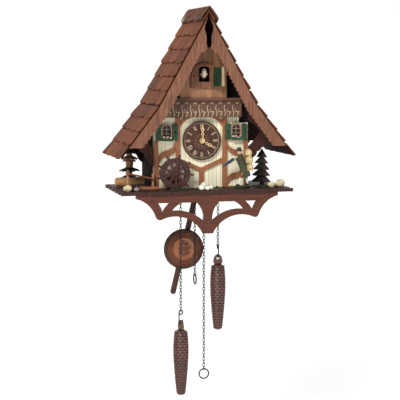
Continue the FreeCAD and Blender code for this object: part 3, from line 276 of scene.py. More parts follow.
CHAIN = paint("blackened_steel", (0.016, 0.016, 0.018), 0.50, 0.4, 0.15, 1.5, (0.045, 0.043, 0.042))
CHAIN.node_tree.nodes["Principled BSDF"].inputs["Specular IOR Level"].default_value = 0.25
# the relief colours below: the light end is partly painted highlight, the dark end partly painted shade
CONE = relief("cone_lacquer", (0.009, 0.0035, 0.003), (0.34, 0.115, 0.070), 0.48, 0.12)
PENDULUM = wood("pendulum_wood", (0.060, 0.019, 0.011), "Z", 0.45, 0.45, 1.1, 0.3, 0.35, 0.15)
DISC = relief("pendulum_carving", (0.015, 0.006, 0.004), (0.46, 0.150, 0.058), 0.42, 0.2)
BELLOWS = wood("bellows_wood", (0.55, 0.38, 0.20), "Z", 0.6, 0.25)
PAPER = paint("bellows_paper", (0.66, 0.58, 0.42), 0.8, 0.12, 0.3)
WHEEL = wood("wheel_wood", (0.062, 0.022, 0.018), "X", 0.5, 0.55, 1.2, 0.35, 0.35, 0.15)
FIR = paint("fir_paint", (0.006, 0.010, 0.007), 0.55, 0.5, 0.5, 1.4, (0.035, 0.022, 0.014))
LOG = wood("log_wood", (0.54, 0.28, 0.115), "X", 0.6, 0.55, 1.2, 0.5, 0.6)
RED_LOG = wood("red_log_wood", (0.28, 0.092, 0.044), "X", 0.5, 0.55, 1.2, 0.4, 0.4, 0.1)
STONE = paint("stone_paint", (0.66, 0.56, 0.34), 0.6, 0.28, 0.5, 1.2, (0.38, 0.28, 0.15))
COAT = paint("coat_paint", (0.038, 0.042, 0.014), 0.5, 0.45, 0.4, 1.2, (0.012, 0.014, 0.008))
BIRD = paint("bird_paint", (0.95, 0.78, 0.64), 0.5, 0.15, 0.3, 1.2, (0.97, 0.90, 0.80))

LOOKS = {
    "back_panel": CASE, "hanger_plate": STEEL, "case_screws": STEEL, "side_panels": CASE,
    "inner_front_wall": INNER, "facade_panel": PLASTER, "timber_framing": TIMBER, "window_frames": TAN,
    "shutters": GREEN, "deck": DECK_WOOD, "base_bracket": BRACKET, "roof_boards": CASE, "shingles": SHINGLE,
    "ridge_shingles": RIDGE, "barge_boards": BARGE, "knee_braces": BRACE, "gable_panel": GABLE,
    "door_frame": BARGE, "balcony": CARVING, "dial": DIAL, "minute_hand": BONE, "hour_hand": BONE,
    "centre_arbor": BONE, "minute_wheel": BRASS, "hour_wheel": BRASS, "movement_frame": STEEL,
    "going_chain_wheel": BRASS, "strike_chain_wheel": BRASS, "escape_wheel": BRASS, "anchor": STEEL,
    "pendulum_rod": PENDULUM, "pendulum_disc": PENDULUM, "gong": STEEL, "gong_hammer": STEEL,
    "whistle_boxes": BELLOWS, "bellows_cloth_right": PAPER, "bellows_cloth_left": PAPER,
    "bellows_top_right": BELLOWS, "bellows_top_left": BELLOWS, "cuckoo_door": DOOR_GREEN, "bird": BIRD,
    "bird_lever": STEEL, "bird_bracket": STEEL, "water_wheel": WHEEL, "fir_trees": FIR, "log_stack": LOG,
    "water_chute": RED_LOG, "stones": STONE, "peddler_figure": COAT, "peddler_pack": TAN,
}
for side in ("left", "right"):
    for part in ("chain_weight_side", "chain_ring_side", "weight_hook", "pull_ring"):
        LOOKS[f"{side}_{part}"] = CHAIN
    LOOKS[f"{side}_cone_weight"] = CONE

# width of the softened edges, in mm
BEVELLED = {
    "facade_panel": 0.3, "timber_framing": 0.5, "window_frames": 0.3, "shutters": 0.35, "deck": 0.5,
    "base_bracket": 0.8, "barge_boards": 0.5, "knee_braces": 0.5, "gable_panel": 0.4, "door_frame": 0.8,
    "balcony": 0.5, "minute_hand": 0.2, "hour_hand": 0.2, "pendulum_rod": 0.8, "cuckoo_door": 0.6,
    "water_wheel": 0.4, "roof_boards": 0.4, "side_panels": 0.3, "back_panel": 0.4,
}


def set_material(obj, material):
    if not obj.data.materials:
        obj.data.materials.append(material)
    for index in range(len(obj.data.materials)):
        obj.data.materials[index] = material


def soften(obj, width, angle):
    """Rounds the edges sharper than angle, by a width in mm."""
    modifier = obj.modifiers.new("soft_edges", "BEVEL")
    modifier.width = width * MM
    modifier.segments = 2
    modifier.limit_method = "ANGLE"
    modifier.angle_limit = math.radians(angle)


for node_name, node_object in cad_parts.items():
    set_material(node_object, LOOKS[node_name])
    if node_name in BEVELLED:
        soften(node_object, BEVELLED[node_name], 40)


# ---------------------------------------------------------------- mesh helpers
def piece(name, verts, faces, material, body="case", node=None, smooth=True):
    """A new mesh piece from points in mm: x, y and the height above the plane DECK."""
    mesh = bpy.data.meshes.new(name)
    mesh.from_pydata([(x * MM, y * MM, (h + DECK) * MM) for x, y, h in verts], [], faces)
    mesh.validate()
    mesh.update()
    for polygon in mesh.polygons:
        polygon.use_smooth = smooth
    mesh.materials.append(material)
    obj = bpy.data.objects.new(name, mesh)
    bpy.context.scene.collection.objects.link(obj)
    if body:
        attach(obj, body)
    if node:
        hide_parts(node)
    return obj


def store(obj, values):
    """Keeps one value a vertex on the mesh, for the relief materials."""
    layer = obj.data.attributes.new("relief", "FLOAT", "POINT")
    layer.data.foreach_set("value", values)


def shifted(origin, *points):
    """Points given from an origin."""
    return [tuple(o + p for o, p in zip(origin, point)) for point in points]


def grid_faces(rows, cols):
    """Quads of a grid whose columns close into rings."""
    faces = []
    for i in range(rows - 1):
        for j in range(cols):
            a, b = i * cols + j, i * cols + (j + 1) % cols
            faces.append((a, b, b + cols, a + cols))
    return faces


def torus_faces(major, minor):
    """Quads of a ring of wire: major sections round the ring, each of minor points."""
    faces = []
    total = major * minor
    for i in range(major):
        for k in range(minor):
            p, q = i * minor + k, i * minor + (k + 1) % minor
            faces.append((p, q, (q + minor) % total, (p + minor) % total))
    return faces


def tube(points, radii, segments=16, flat=1.0, rough=0.0, seed=0.0):
    """A closed skin along a path, with a radius at each point; rough makes it uneven."""
    path = [Vector(p) for p in points]
    verts = []
    for i, p in enumerate(path):
        ahead = (path[min(i + 1, len(path) - 1)] - path[max(i - 1, 0)]).normalized()
        ref = Vector((0, 1, 0)) if abs(ahead.y) < 0.9 else Vector((0, 0, 1))
        side = ahead.cross(ref).normalized()
        other = side.cross(ahead)
        for k in range(segments):
            a = 2 * math.pi * k / segments
            around = Vector((math.cos(a) * 1.3, math.sin(a) * 1.3, i * 0.6 + seed))
            r = radii[i] * (1 + rough * noise.noise(around))
            verts.append(p + side * math.cos(a) * r + other * math.sin(a) * r * flat)
    faces = grid_faces(len(path), segments)
    for row, centre in ((0, path[0]), (len(path) - 1, path[-1])):
        hub = len(verts)
        verts.append(centre)
        for k in range(segments):
            a, b = row * segments + k, row * segments + (k + 1) % segments
            faces.append((hub, b, a) if row == 0 else (hub, a, b))
    return [tuple(v) for v in verts], faces


def line(a, b, count):
    return [tuple(a[i] + (b[i] - a[i]) * t / (count - 1) for i in range(3)) for t in range(count)]


def lathe(profile, centre, segments, swell):
    """A shape turned about a vertical axis; swell(height, angle) is added to each radius."""
    verts = []
    for r, h in profile:
        for k in range(segments):
            a = 2 * math.pi * k / segments
            radius = r + swell(h, a)
            verts.append((centre[0] + radius * math.cos(a), centre[1] + radius * math.sin(a), h))
    faces = grid_faces(len(profile), segments)
    faces.append(tuple(reversed(range(segments))))
    last = (len(profile) - 1) * segments
    faces.append(tuple(range(last, last + segments)))
    return verts, faces


def blob(centre, radii, rough, seed, rings, segments):
    """A rounded lump with an uneven surface."""
    verts, faces = [], []
    for i in range(1, rings):
        t = math.pi * i / rings
        for k in range(segments):
            a = 2 * math.pi * k / segments
            d = Vector((math.sin(t) * math.cos(a), math.sin(t) * math.sin(a), math.cos(t)))
            s = 1 + rough * noise.noise(d * 1.7 + Vector((seed, seed, seed)))
            verts.append(tuple(centre[j] + d[j] * radii[j] * s for j in range(3)))
    faces = grid_faces(rings - 1, segments)
    for row, z_sign in ((0, 1), (rings - 2, -1)):
        hub = len(verts)
        verts.append((centre[0], centre[1], centre[2] + z_sign * radii[2]))
        for k in range(segments):
            a, b = row * segments + k, row * segments + (k + 1) % segments
            faces.append((hub, a, b) if z_sign > 0 else (hub, b, a))
    return verts, faces


def slab(corners, offset):
    """A prism: a flat outline of (x, y, h) points and the vector to its other face."""
    n = len(corners)
    verts = list(corners) + [tuple(c[i] + offset[i] for i in range(3)) for c in corners]
    faces = [tuple(reversed(range(n))), tuple(range(n, 2 * n))]
    faces += [(i, (i + 1) % n, n + (i + 1) % n, n + i) for i in range(n)]
    return verts, faces


def panel(x0, x1, h0, h1, y, depth):
    """An upright board from its edges, its face at y and its thickness along Y."""
    return slab([(x0, y, h0), (x1, y, h0), (x1, y, h1), (x0, y, h1)], (0, depth, 0))


def joined(parts):
    verts, faces = [], []
    for part_verts, part_faces in parts:
        start = len(verts)
        verts += part_verts
        faces += [tuple(start + i for i in face) for face in part_faces]
    return verts, faces


def outward(obj):
    """Makes the face normals point out of each closed part."""
    mesh = bmesh.new()
    mesh.from_mesh(obj.data)
    bmesh.ops.recalc_face_normals(mesh, faces=mesh.faces)
    mesh.to_mesh(obj.data)
    mesh.free()


def make(name, parts, material, body="case", node=None, smooth=True, bevel=0.0, angle=35):
    """One piece from several closed parts, with soft edges if bevel is given, in mm."""
    verts, faces = joined(parts)
    obj = piece(name, verts, faces, material, body, node, smooth)
    outward(obj)
    if bevel:
        soften(obj, bevel, angle)
    if smooth:
        obj.data.set_sharp_from_angle(angle=math.radians(angle))
    return obj


# ---------------------------------------------------------------- roof
RIDGE_H = 270.0
BEND = (78.0, 129.0)
EAVE = (137.0, 52.5)
ROOF_FRONT, ROOF_BACK = -130.6, -0.2
LAST_WIDTH = 14.0        # a strip narrower than this joins the shingle before it


def slope_frame(sign, upper):
    """Start point, direction down the slope, outward normal and length of one roof plane."""
    a, b = ((0.0, RIDGE_H), BEND) if upper else (BEND, EAVE)
    down = Vector((sign * (b[0] - a[0]), 0, b[1] - a[1]))
    length = down.length
    down.normalize()
    out = Vector((sign * abs(down.z), 0, abs(down.x)))
    return Vector((sign * a[0], 0, a[1])), down, out, length


def shingle(start, down, out, y0, y1, s0, s1, lift, skew, bow):
    """One split shingle, thin at the top and thick at its rounded butt, down the slope from s0 to s1."""
    width = y1 - y0
    count = 9
    low = 3.4
    rows = []
    for i in range(count):
        t = i / (count - 1)
        y = y0 + width * t
        end = s1 - bow * abs(2 * t - 1) ** 3.0 - skew * (t - 0.5)
        ripple = 0.22 * math.sin(9.0 * t + s0) - 0.25 * abs(2 * t - 1) ** 4
        top_in = start + down * s0 - out * low
        butt_in = start + down * end - out * low
        top_out = start + down * s0 - out * (low - 0.7)
        butt_out = start + down * end + out * (lift + ripple - 0.15)
        middle = top_out.lerp(butt_out, 0.86)
        for p in (top_in, top_out, middle, butt_out, butt_in):
            rows.append((p.x, y, p.z))
    faces = []
    for i in range(count - 1):
        a = i * 5
        for j in range(5):
            faces.append((a + j, a + (j + 1) % 5, a + 5 + (j + 1) % 5, a + 5 + j))
    last = (count - 1) * 5
    faces.append((0, 1, 2, 3, 4))
    faces.append((last, last + 4, last + 3, last + 2, last + 1))
    return rows, faces


roof_parts = {1: [], -1: []}
for sign in (-1, 1):
    for upper, count in ((True, 7), (False, 4)):
        start, down, out, length = slope_frame(sign, upper)
        pitch = length / count
        for row in range(count):
            y = ROOF_FRONT
            while y < -2.0:
                y1 = min(y + rng.uniform(26.0, 40.0), ROOF_BACK)
                if ROOF_BACK - y1 < LAST_WIDTH:
                    y1 = ROOF_BACK
                s0 = max(0.0, row * pitch - 1.0)
                eave = not upper and row == count - 1
                s1 = (row + 1) * pitch + (rng.uniform(-0.9, -0.2) if eave else rng.uniform(-1.6, 0.6))
                lift = rng.uniform(-1.2, 0.0)
                skew = 0.0 if eave else rng.uniform(-1.8, 1.8)
                roof_parts[sign].append(shingle(start, down, out, y + 0.4, y1 - 0.4, s0, s1, lift,
                                                skew, 1.6 if eave else 3.6))
                y = y1
for sign, label in ((1, "right"), (-1, "left")):
    make(f"shingles_{label}", roof_parts[sign], SHINGLE, node="shingles", smooth=False, bevel=0.35)

RIDGE_SLOPE = (RIDGE_H - BEND[1]) / BEND[0]


def saddle(y0, y1, front_lift, back_lift, tips):
    """One ridge shingle, bent over the apex, that leans on the one behind it."""
    verts = []
    count = 15
    for y, lift in ((y0, front_lift), (y1, back_lift)):
        for inner in (False, True):
            for k in range(count):
                u = 2 * k / (count - 1) - 1
                x = u * tips[0 if u < 0 else 1]
                d = abs(x)
                top = RIDGE_H + 2.0 - 0.62 * d ** 1.27 + lift * (1.0 + 0.10 * d)
                roof = RIDGE_H - RIDGE_SLOPE * d + 0.3
                verts.append((x, y, max(roof, top - 3.8) if inner else max(roof + 0.5, top)))
    faces = []
    back, n = 2 * count, count
    for k in range(count - 1):
        faces.append((k, k + 1, back + k + 1, back + k))
        faces.append((n + k + 1, n + k, back + n + k, back + n + k + 1))
        faces.append((k + 1, k, n + k, n + k + 1))
        faces.append((back + k, back + k + 1, back + n + k + 1, back + n + k))
    for k in (0, count - 1):
        faces.append((k, back + k, back + n + k, n + k))
    return verts, faces


RIDGE_PITCH = 14.4
ridge_parts = []
for i in range(9):
    y0 = -131.6 + i * RIDGE_PITCH
    tips = (11.0 + rng.uniform(-0.8, 1.2), 13.4 + rng.uniform(-0.9, 0.7))
    y1 = min(y0 + RIDGE_PITCH - 0.5, -0.6)
    ridge_parts.append(saddle(y0, y1, rng.uniform(-0.5, 0.0), -2.4, tips))
make("ridge_cap", ridge_parts, RIDGE, node="ridge_shingles", smooth=False, bevel=0.4)


# ---------------------------------------------------------------- dial
DIAL_H = 73.8
NUMERAL_FRONT, NUMERAL_BACK = -88.5, -87.9
NUMERAL_R, NUMERAL_HALF = 20.9, 3.3
WIDTHS = {"I": 1.25, "V": 2.7, "X": 2.7}
NUMERALS = ("XII", "I", "II", "III", "IV", "V", "VI", "VII", "VIII", "IX", "X", "XI")


def on_dial(r, a):
    """x, h of a point at radius r and angle a clockwise from 12."""
    return r * math.sin(a), DIAL_H + r * math.cos(a)


def dial_stroke(angle, u0, v0, u1, v1, width, front=NUMERAL_FRONT):
    """A flat bar on the dial, given in a numeral's own axes: u across and v outwards."""
    du, dv = u1 - u0, v1 - v0
    length = math.hypot(du, dv)
    nu, nv = -dv / length * width / 2, du / length * width / 2
    corners = []
    for u, v in ((u0 + nu, v0 + nv), (u1 + nu, v1 + nv), (u1 - nu, v1 - nv), (u0 - nu, v0 - nv)):
        x = (NUMERAL_R + v) * math.sin(angle) + u * math.cos(angle)
        h = DIAL_H + (NUMERAL_R + v) * math.cos(angle) - u * math.sin(angle)
        corners.append((x, front, h))
    return slab(corners, (0, NUMERAL_BACK - front, 0))


def letter_strokes(c, u, mid, right):
    """The strokes of I, V or X between u and right: ends across and outwards, and width."""
    half = NUMERAL_HALF
    if c == "I":
        return [(mid, -half, mid, half, 0.46)] + [(mid - 0.62, v, mid + 0.6, v, 0.24) for v in (-half, half)]
    left_foot, right_foot = (mid, mid) if c == "V" else (right, u)
    thin_front = NUMERAL_FRONT + 0.05
    return [(u, half, left_foot, -half, 0.5), (right, half, right_foot, -half, 0.3, thin_front)]


numeral_parts = []
for number, letters in enumerate(NUMERALS):
    u = -sum(WIDTHS[c] for c in letters) / 2
    for c in letters:
        w = WIDTHS[c]
        for stroke in letter_strokes(c, u + 0.35, u + w / 2, u + w - 0.35):
            numeral_parts.append(dial_stroke(math.radians(30 * number), *stroke))
        u += w
make("dial_numerals", numeral_parts, CREAM, smooth=False)


def ring(radius, wire, y):
    """A thin ring round the centre of the dial, facing forwards."""
    major, minor = 72, 8
    verts = []
    for i in range(major):
        a = 2 * math.pi * i / major
        for k in range(minor):
            b = 2 * math.pi * k / minor
            r = radius + wire * math.cos(b)
            verts.append((r * math.sin(a), y + wire * math.sin(b), DIAL_H + r * math.cos(a)))
    return verts, torus_faces(major, minor)


make("dial_rings", [ring(26.3, 0.22, -88.0)], CREAM)
make("dial_carved_rings", [ring(14.6, 0.5, -88.0), ring(27.1, 0.35, -88.2)], DIAL)
petals = []
for i in range(16):
    a = 2 * math.pi * i / 16
    path, radii = [], []
    for k in range(9):
        t = k / 8
        x, h = on_dial(5.0 + 8.4 * t, a)
        path.append((x, -88.0, h))
        radii.append(0.12 + 1.15 * math.sin(math.pi * (0.08 + 0.84 * t)))
    petals.append(tube(path, radii, 10, 0.6))
SUNBURST = wood("sunburst_wood", (0.15, 0.06, 0.035), "Z", 0.4, 0.3, 1.2, 0.25, 0.3, 0.2)
make("dial_sunburst", petals, SUNBURST)


# ---------------------------------------------------------------- pendulum disc, carved in relief
PIVOT = (19.3, 44.0)
TILT = math.radians(13.6)
DISC_L = 145.6           # from the pivot to the middle of the disc
DISC_R, DISC_BACK = 31.35, -33.0
FIELD_R, FIELD_EDGE, GROOVE_PITCH = 17.0, 5.7, 2.3
disc_x = PIVOT[0] - DISC_L * math.sin(TILT)
disc_h = PIVOT[1] - DISC_L * math.cos(TILT)


def smooth_step(t):
    t = max(0.0, min(1.0, t))
    return t * t * (3 - 2 * t)


def leaf(u, v, cu, cv, angle, length, width):
    """1 inside a pointed leaf that starts at (cu, cv), falling to 0 over its edge."""
    du, dv = u - cu, v - cv
    along = du * math.sin(angle) + dv * math.cos(angle)
    across = du * math.cos(angle) - dv * math.sin(angle)
    t = along / length
    if t <= 0.0 or t >= 1.0:
        return 0.0
    half = width * math.sin(math.pi * t ** 0.8)
    return smooth_step((half - abs(across)) / 0.9) * (0.75 + 0.25 * min(1.0, abs(across) / 0.5))


# foot of the leaf, its angle, length and width
LEAVES = [(0.0, 2.0, 0.0, 12.5, 3.0)]
for side_sign in (-1, 1):
    for v0, angle, length, width in ((-9.5, 1.15, 10.5, 2.3), (-4.5, 0.95, 12.5, 2.6), (0.5, 0.62, 12.5, 2.4)):
        LEAVES.append((0.0, v0, side_sign * angle, length, width))


def disc_relief(r, a):
    """Height of the carving over the disc's back, in mm: turned rings round a carved sprig."""
    if r > FIELD_R:
        off = (r - FIELD_R) / GROOVE_PITCH
        groove = math.exp(-(((off - round(off)) * GROOVE_PITCH) / 0.42) ** 2)
        return FIELD_EDGE - 0.045 * (r - FIELD_R) - 2.0 * groove - max(0.0, r - 30.5) * 1.6
    u, v = r * math.sin(a), r * math.cos(a)
    height = 3.1 + 0.5 * noise.noise(Vector((u * 0.4, v * 0.4, 3.0))) + 1.2 * smooth_step((r - 13.5) / 4.0)
    raised = max(leaf(u, v, *one) for one in LEAVES)
    stem = smooth_step((1.1 - abs(u)) / 0.8) if -14.5 < v < 3.0 else 0.0
    return height + 1.6 * max(raised, stem * 0.8)


def disc_stain_and_shading(r, a, height):
    """How light the carving is, least in the grooves and round the leaves: partly stain rubbed off the crests,
    partly painted shade in the grooves and painted highlights on the crests and the field.
    """
    if r > FIELD_R:
        flat = FIELD_EDGE - 0.045 * (r - FIELD_R)
        return max(0.0, 1.0 - (flat - height) / 1.1) * (0.72 - 0.42 * smooth_step((r - 23.0) / 8.0))
    u, v = r * math.sin(a), r * math.cos(a)
    raised = max(leaf(u, v, *one) for one in LEAVES)
    outline = 1.0 - abs(2.0 * raised - 1.0)
    vein = 0.55 if raised > 0.7 and raised < 0.93 else 0.0
    return 0.95 - 0.85 * max(outline, vein) - 0.25 * smooth_step(raised)


def on_disc(r, a, height):
    return (disc_x + r * math.sin(a), DISC_BACK - height, disc_h + r * math.cos(a))


RINGS, SPOKES = 128, 220
verts, tones = [], []
for i in range(RINGS):
    r = 31.3 * (i + 0.5) / RINGS if i < RINGS - 1 else DISC_R
    for k in range(SPOKES):
        a = 2 * math.pi * k / SPOKES
        height = disc_relief(r, a)
        verts.append(on_disc(r, a, height))
        tones.append(disc_stain_and_shading(r, a, height))
faces = grid_faces(RINGS, SPOKES)
hub = len(verts)
verts.append(on_disc(0, 0, disc_relief(0, 0)))
back, outer = len(verts), (RINGS - 1) * SPOKES
verts += [on_disc(DISC_R, 2 * math.pi * k / SPOKES, 0) for k in range(SPOKES)]
for k in range(SPOKES):
    after = (k + 1) % SPOKES
    faces += [(hub, k, after), (outer + k, back + k, back + after, outer + after)]
faces.append(tuple(range(back, back + SPOKES)))
disc = piece("pendulum_carving", verts, faces, DISC, "pendulum", "pendulum_disc")
store(disc, tones + [0.4] + [0.1] * SPOKES)
outward(disc)
disc.data.set_sharp_from_angle(angle=math.radians(50))


# ---------------------------------------------------------------- cone weights
CHAIN_Y = -60.0
CONE_HEIGHT, CONE_WIDEST = 103.2, 0.33


def cone_radius(t):
    """Radius of the cone at a share t of its height from the top."""
    if t < CONE_WIDEST:
        return 9.8 + 2.6 * math.sin(math.pi / 2 * t / CONE_WIDEST) ** 0.7
    return 12.4 - 5.3 * ((t - CONE_WIDEST) / 0.67) ** 1.5


def cone_weight(name, x, top, body, node):
    """A fir cone: rows of overlapping scales on a long tapered body."""
    rows, count, scales = 264, 110, 10
    verts, tones = [], []
    for i in range(rows):
        t = i / (rows - 1)
        h = top - CONE_HEIGHT * t
        for k in range(count):
            a = 2 * math.pi * k / count
            row_pos = t * 24.0
            row = math.floor(row_pos)
            f = row_pos - row
            u = (a / (2 * math.pi) * scales + 0.5 * (row % 2)) % 1.0
            across = abs(2 * u - 1)
            tip = 0.50 + 0.46 * (1 - across ** 2.0)
            raised = (f / tip) ** 0.8 if f < tip else 0.0
            r = cone_radius(t) - 1.2 + 1.2 * raised * (1 - 0.1 * across)
            if t > 0.965:
                r = min(r, cone_radius(t) * (1 - ((t - 0.965) / 0.035) ** 2 * 0.45))
            if t < 0.03:
                r = min(r, 4.4 + 130.0 * t)
            verts.append((x + r * math.cos(a), CHAIN_Y + r * math.sin(a), h))
            # light on the raised tip of each scale and dark under the scale above: partly the finish, partly
            # painted highlight and painted shade
            tones.append(max(0.0, raised) ** 1.5 * (1 - 0.35 * across))
    faces = grid_faces(rows, count)
    faces.append(tuple(range(count)))
    last = (rows - 1) * count
    faces.append(tuple(reversed(range(last, last + count))))
    obj = piece(name, verts, faces, CONE, body, node)
    store(obj, tones)
    outward(obj)
    obj.data.set_sharp_from_angle(angle=math.radians(60))


# half outline of the lug, from the top: across and up from the middle of its hole
LUG = ((0.0, 5.5), (2.2, 5.1), (3.9, 4.1), (5.2, 2.5), (6.1, 0.7), (6.7, -1.4), (7.2, -3.6),
       (7.4, -5.4), (6.6, -7.8), (5.2, -10.2), (0.0, -10.8))
LUG_HALF, EYE_R = 1.55, 2.4


def cast_eye(centre, turn):
    """The cast lug at the top of a weight: a plate with a hole, turned about the vertical."""
    outline = list(LUG) + [(-u, v) for u, v in reversed(LUG[1:-1])]
    n = len(outline)
    verts = []
    for y in (-LUG_HALF, LUG_HALF):
        verts += [(u, y, v) for u, v in outline]
        for u, v in outline:
            a = math.atan2(u, v)
            verts.append((EYE_R * math.sin(a), y, EYE_R * math.cos(a)))
    faces = []
    for i in range(n):
        j = (i + 1) % n
        faces.append((i, j, n + j, n + i))
        faces.append((2 * n + j, 2 * n + i, 3 * n + i, 3 * n + j))
        faces.append((j, i, 2 * n + i, 2 * n + j))
        faces.append((n + i, n + j, 3 * n + j, 3 * n + i))
    c, s = math.cos(turn), math.sin(turn)
    return shifted(centre, *[(x * c - y * s, x * s + y * c, h) for x, y, h in verts]), faces


# ---------------------------------------------------------------- chains
CHAIN_PITCH, SPROCKET_H, SPROCKET_R = 5.0, 25.0, 11.2


def link(centre, lean, flat):
    """An oval link of round wire, face-on or edge-on, leaning by an angle about the Y axis."""
    wire, bend, sides = 0.58, 1.6, 8
    half = CHAIN_PITCH / 2 + 1.04 - wire - bend
    verts = []
    for i in range(18):
        end, a = (half, math.pi * i / 8) if i < 9 else (-half, math.pi * (i - 1) / 8)
        for k in range(sides):
            b = 2 * math.pi * k / sides
            reach = bend + wire * math.cos(b)
            across, up, w = reach * math.cos(a), end + reach * math.sin(a), wire * math.sin(b)
            x, y = (across, w) if flat else (-w, across)
            verts.append((x * math.cos(lean) + up * math.sin(lean), y,
                          -x * math.sin(lean) + up * math.cos(lean)))
    return shifted(centre, *verts), torus_faces(18, sides)


def chain_fall(name, x, count, first_flat, node, over=None):
    """One fall of links, with the seven links over the wheel when over gives the wheel's x."""
    links = []
    if over is not None:
        for i in range(7):
            a = math.pi * (i + 0.5) / 7
            centre = (over - SPROCKET_R * math.cos(a), CHAIN_Y, SPROCKET_H + SPROCKET_R * math.sin(a))
            links.append(link(centre, a, first_flat != (i % 2 == 0)))
    for i in range(count):
        centre = (x, CHAIN_Y, SPROCKET_H - CHAIN_PITCH * (i + 0.5))
        links.append(link(centre, 0.0, first_flat == (i % 2 == 0)))
    verts, faces = joined(links)
    obj = piece(name, verts, faces, CHAIN, None, node)
    outward(obj)
    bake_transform(obj)


# side, x of the wheel, side of the weight, first link face-on, links to the weight, links to the
# ring, and turn of the lug in degrees
CHAINS = (("left", -14.6, -1, False, 43, 32, 108.0), ("right", 22.1, 1, True, 23, 62, 0.0))
for side, centre_x, out, first_flat, n_weight, n_ring, lug_turn in CHAINS:
    weight_x, ring_x = centre_x + out * SPROCKET_R, centre_x - out * SPROCKET_R
    chain_fall(f"{side}_weight_chain", weight_x, n_weight, first_flat, f"{side}_chain_weight_side",
               centre_x)
    chain_fall(f"{side}_ring_chain", ring_x, n_ring, first_flat, f"{side}_chain_ring_side")
    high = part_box(f"{side}_cone_weight")[1]
    eye_h = high[2] / MM - DECK - 5.6
    cone_weight(f"{side}_cone", weight_x, eye_h - 9.0, f"{side}_weight", f"{side}_cone_weight")
    lug = cast_eye((weight_x, CHAIN_Y, eye_h), math.radians(lug_turn))
    eye = make(f"{side}_cone_eye", [lug], CONE, f"{side}_weight", bevel=0.6)
    store(eye, [0.45] * len(eye.data.vertices))

# ---------------------------------------------------------------- balcony carving
SCROLL_Y, SLAT_Y = -99.0, -98.0
MOTIFS, MOTIF_X, MOTIF_PITCH = 9, -52.3, 13.07
SEVEN = ((-2.9, 116.2), (-2.3, 117.6), (-0.6, 117.0), (1.2, 117.5), (2.4, 117.2), (1.5, 115.0),
         (0.5, 112.8), (-0.3, 110.2))
SEVEN_RADII = [0.25, 0.45, 0.4, 0.45, 0.5, 0.48, 0.42, 0.25]
SLAT = ((0, 109.6), (5.2, 109.6), (5.2, 124.0), (4.2, 126.4), (2.6, 127.4), (1.0, 126.4), (0, 124.0))


def curl(x, h, size, wire):
    """A carved scroll: a spiral that unrolls into a short stem."""
    path, radii = [], []
    for k in range(18):
        t = k / 17
        a = 0.4 + 4.4 * t
        r = size * (1.0 - 0.80 * t)
        path.append((x + r * math.cos(a) * 0.8, SCROLL_Y, h + r * math.sin(a)))
        radii.append(wire * (1.0 - 0.35 * t))
    return tube(path, radii, 8, 0.6)


def wave(x, h0, h1):
    """A carved upright line with one S bend."""
    path, radii = [], []
    for k in range(13):
        t = k / 12
        path.append((x + math.sin(t * math.pi * 2.0), SCROLL_Y, h0 + (h1 - h0) * t))
        radii.append(0.42 - 0.16 * abs(2 * t - 1))
    return tube(path, radii, 8, 0.6)


scrolls = []
for i in range(MOTIFS):
    x = MOTIF_X + i * MOTIF_PITCH
    scrolls.append(tube([(x + u, SCROLL_Y, h) for u, h in SEVEN], SEVEN_RADII, 8, 0.6))
    scrolls.append(curl(x - 2.9, 119.6, 1.3, 0.3))
    top = shifted((x, SCROLL_Y, 0), (-3.0, 0, 131.4), (-0.4, 0, 129.4), (2.6, 0, 131.8))
    scrolls.append(tube(top, [0.2, 0.5, 0.3], 8, 0.6))
for i in range(MOTIFS - 1):
    scrolls.append(wave(MOTIF_X + (i + 0.5) * MOTIF_PITCH, 110.2, 127.0))
make("balcony_scrolls", scrolls, CREAM)
slats = []
for i in range(MOTIFS * 2 + 1):
    x = -58.3 + i * 6.14
    slats.append(slab([(x + u, SLAT_Y, h) for u, h in SLAT], (0, -0.7, 0)))
    for k in range(3):
        centre = (x + 1.0 + 1.7 * k, SLAT_Y, 129.8 + 0.9 * (k % 2))
        slats.append(blob(centre, (1.0, 1.0, 1.4), 0.2, i + k, 6, 8))
SLAT_WOOD = wood("slat_wood", (0.140, 0.068, 0.044), "Z", 0.6, 0.5, 1.5, 0.4, 0.5)
make("balcony_slats", slats, SLAT_WOOD, smooth=False, bevel=0.3)
make("beam_moulding", [panel(-60.4, 60.4, 133.4, 134.4, -101.5, -1.0)], TIMBER_X, smooth=False, bevel=0.3)

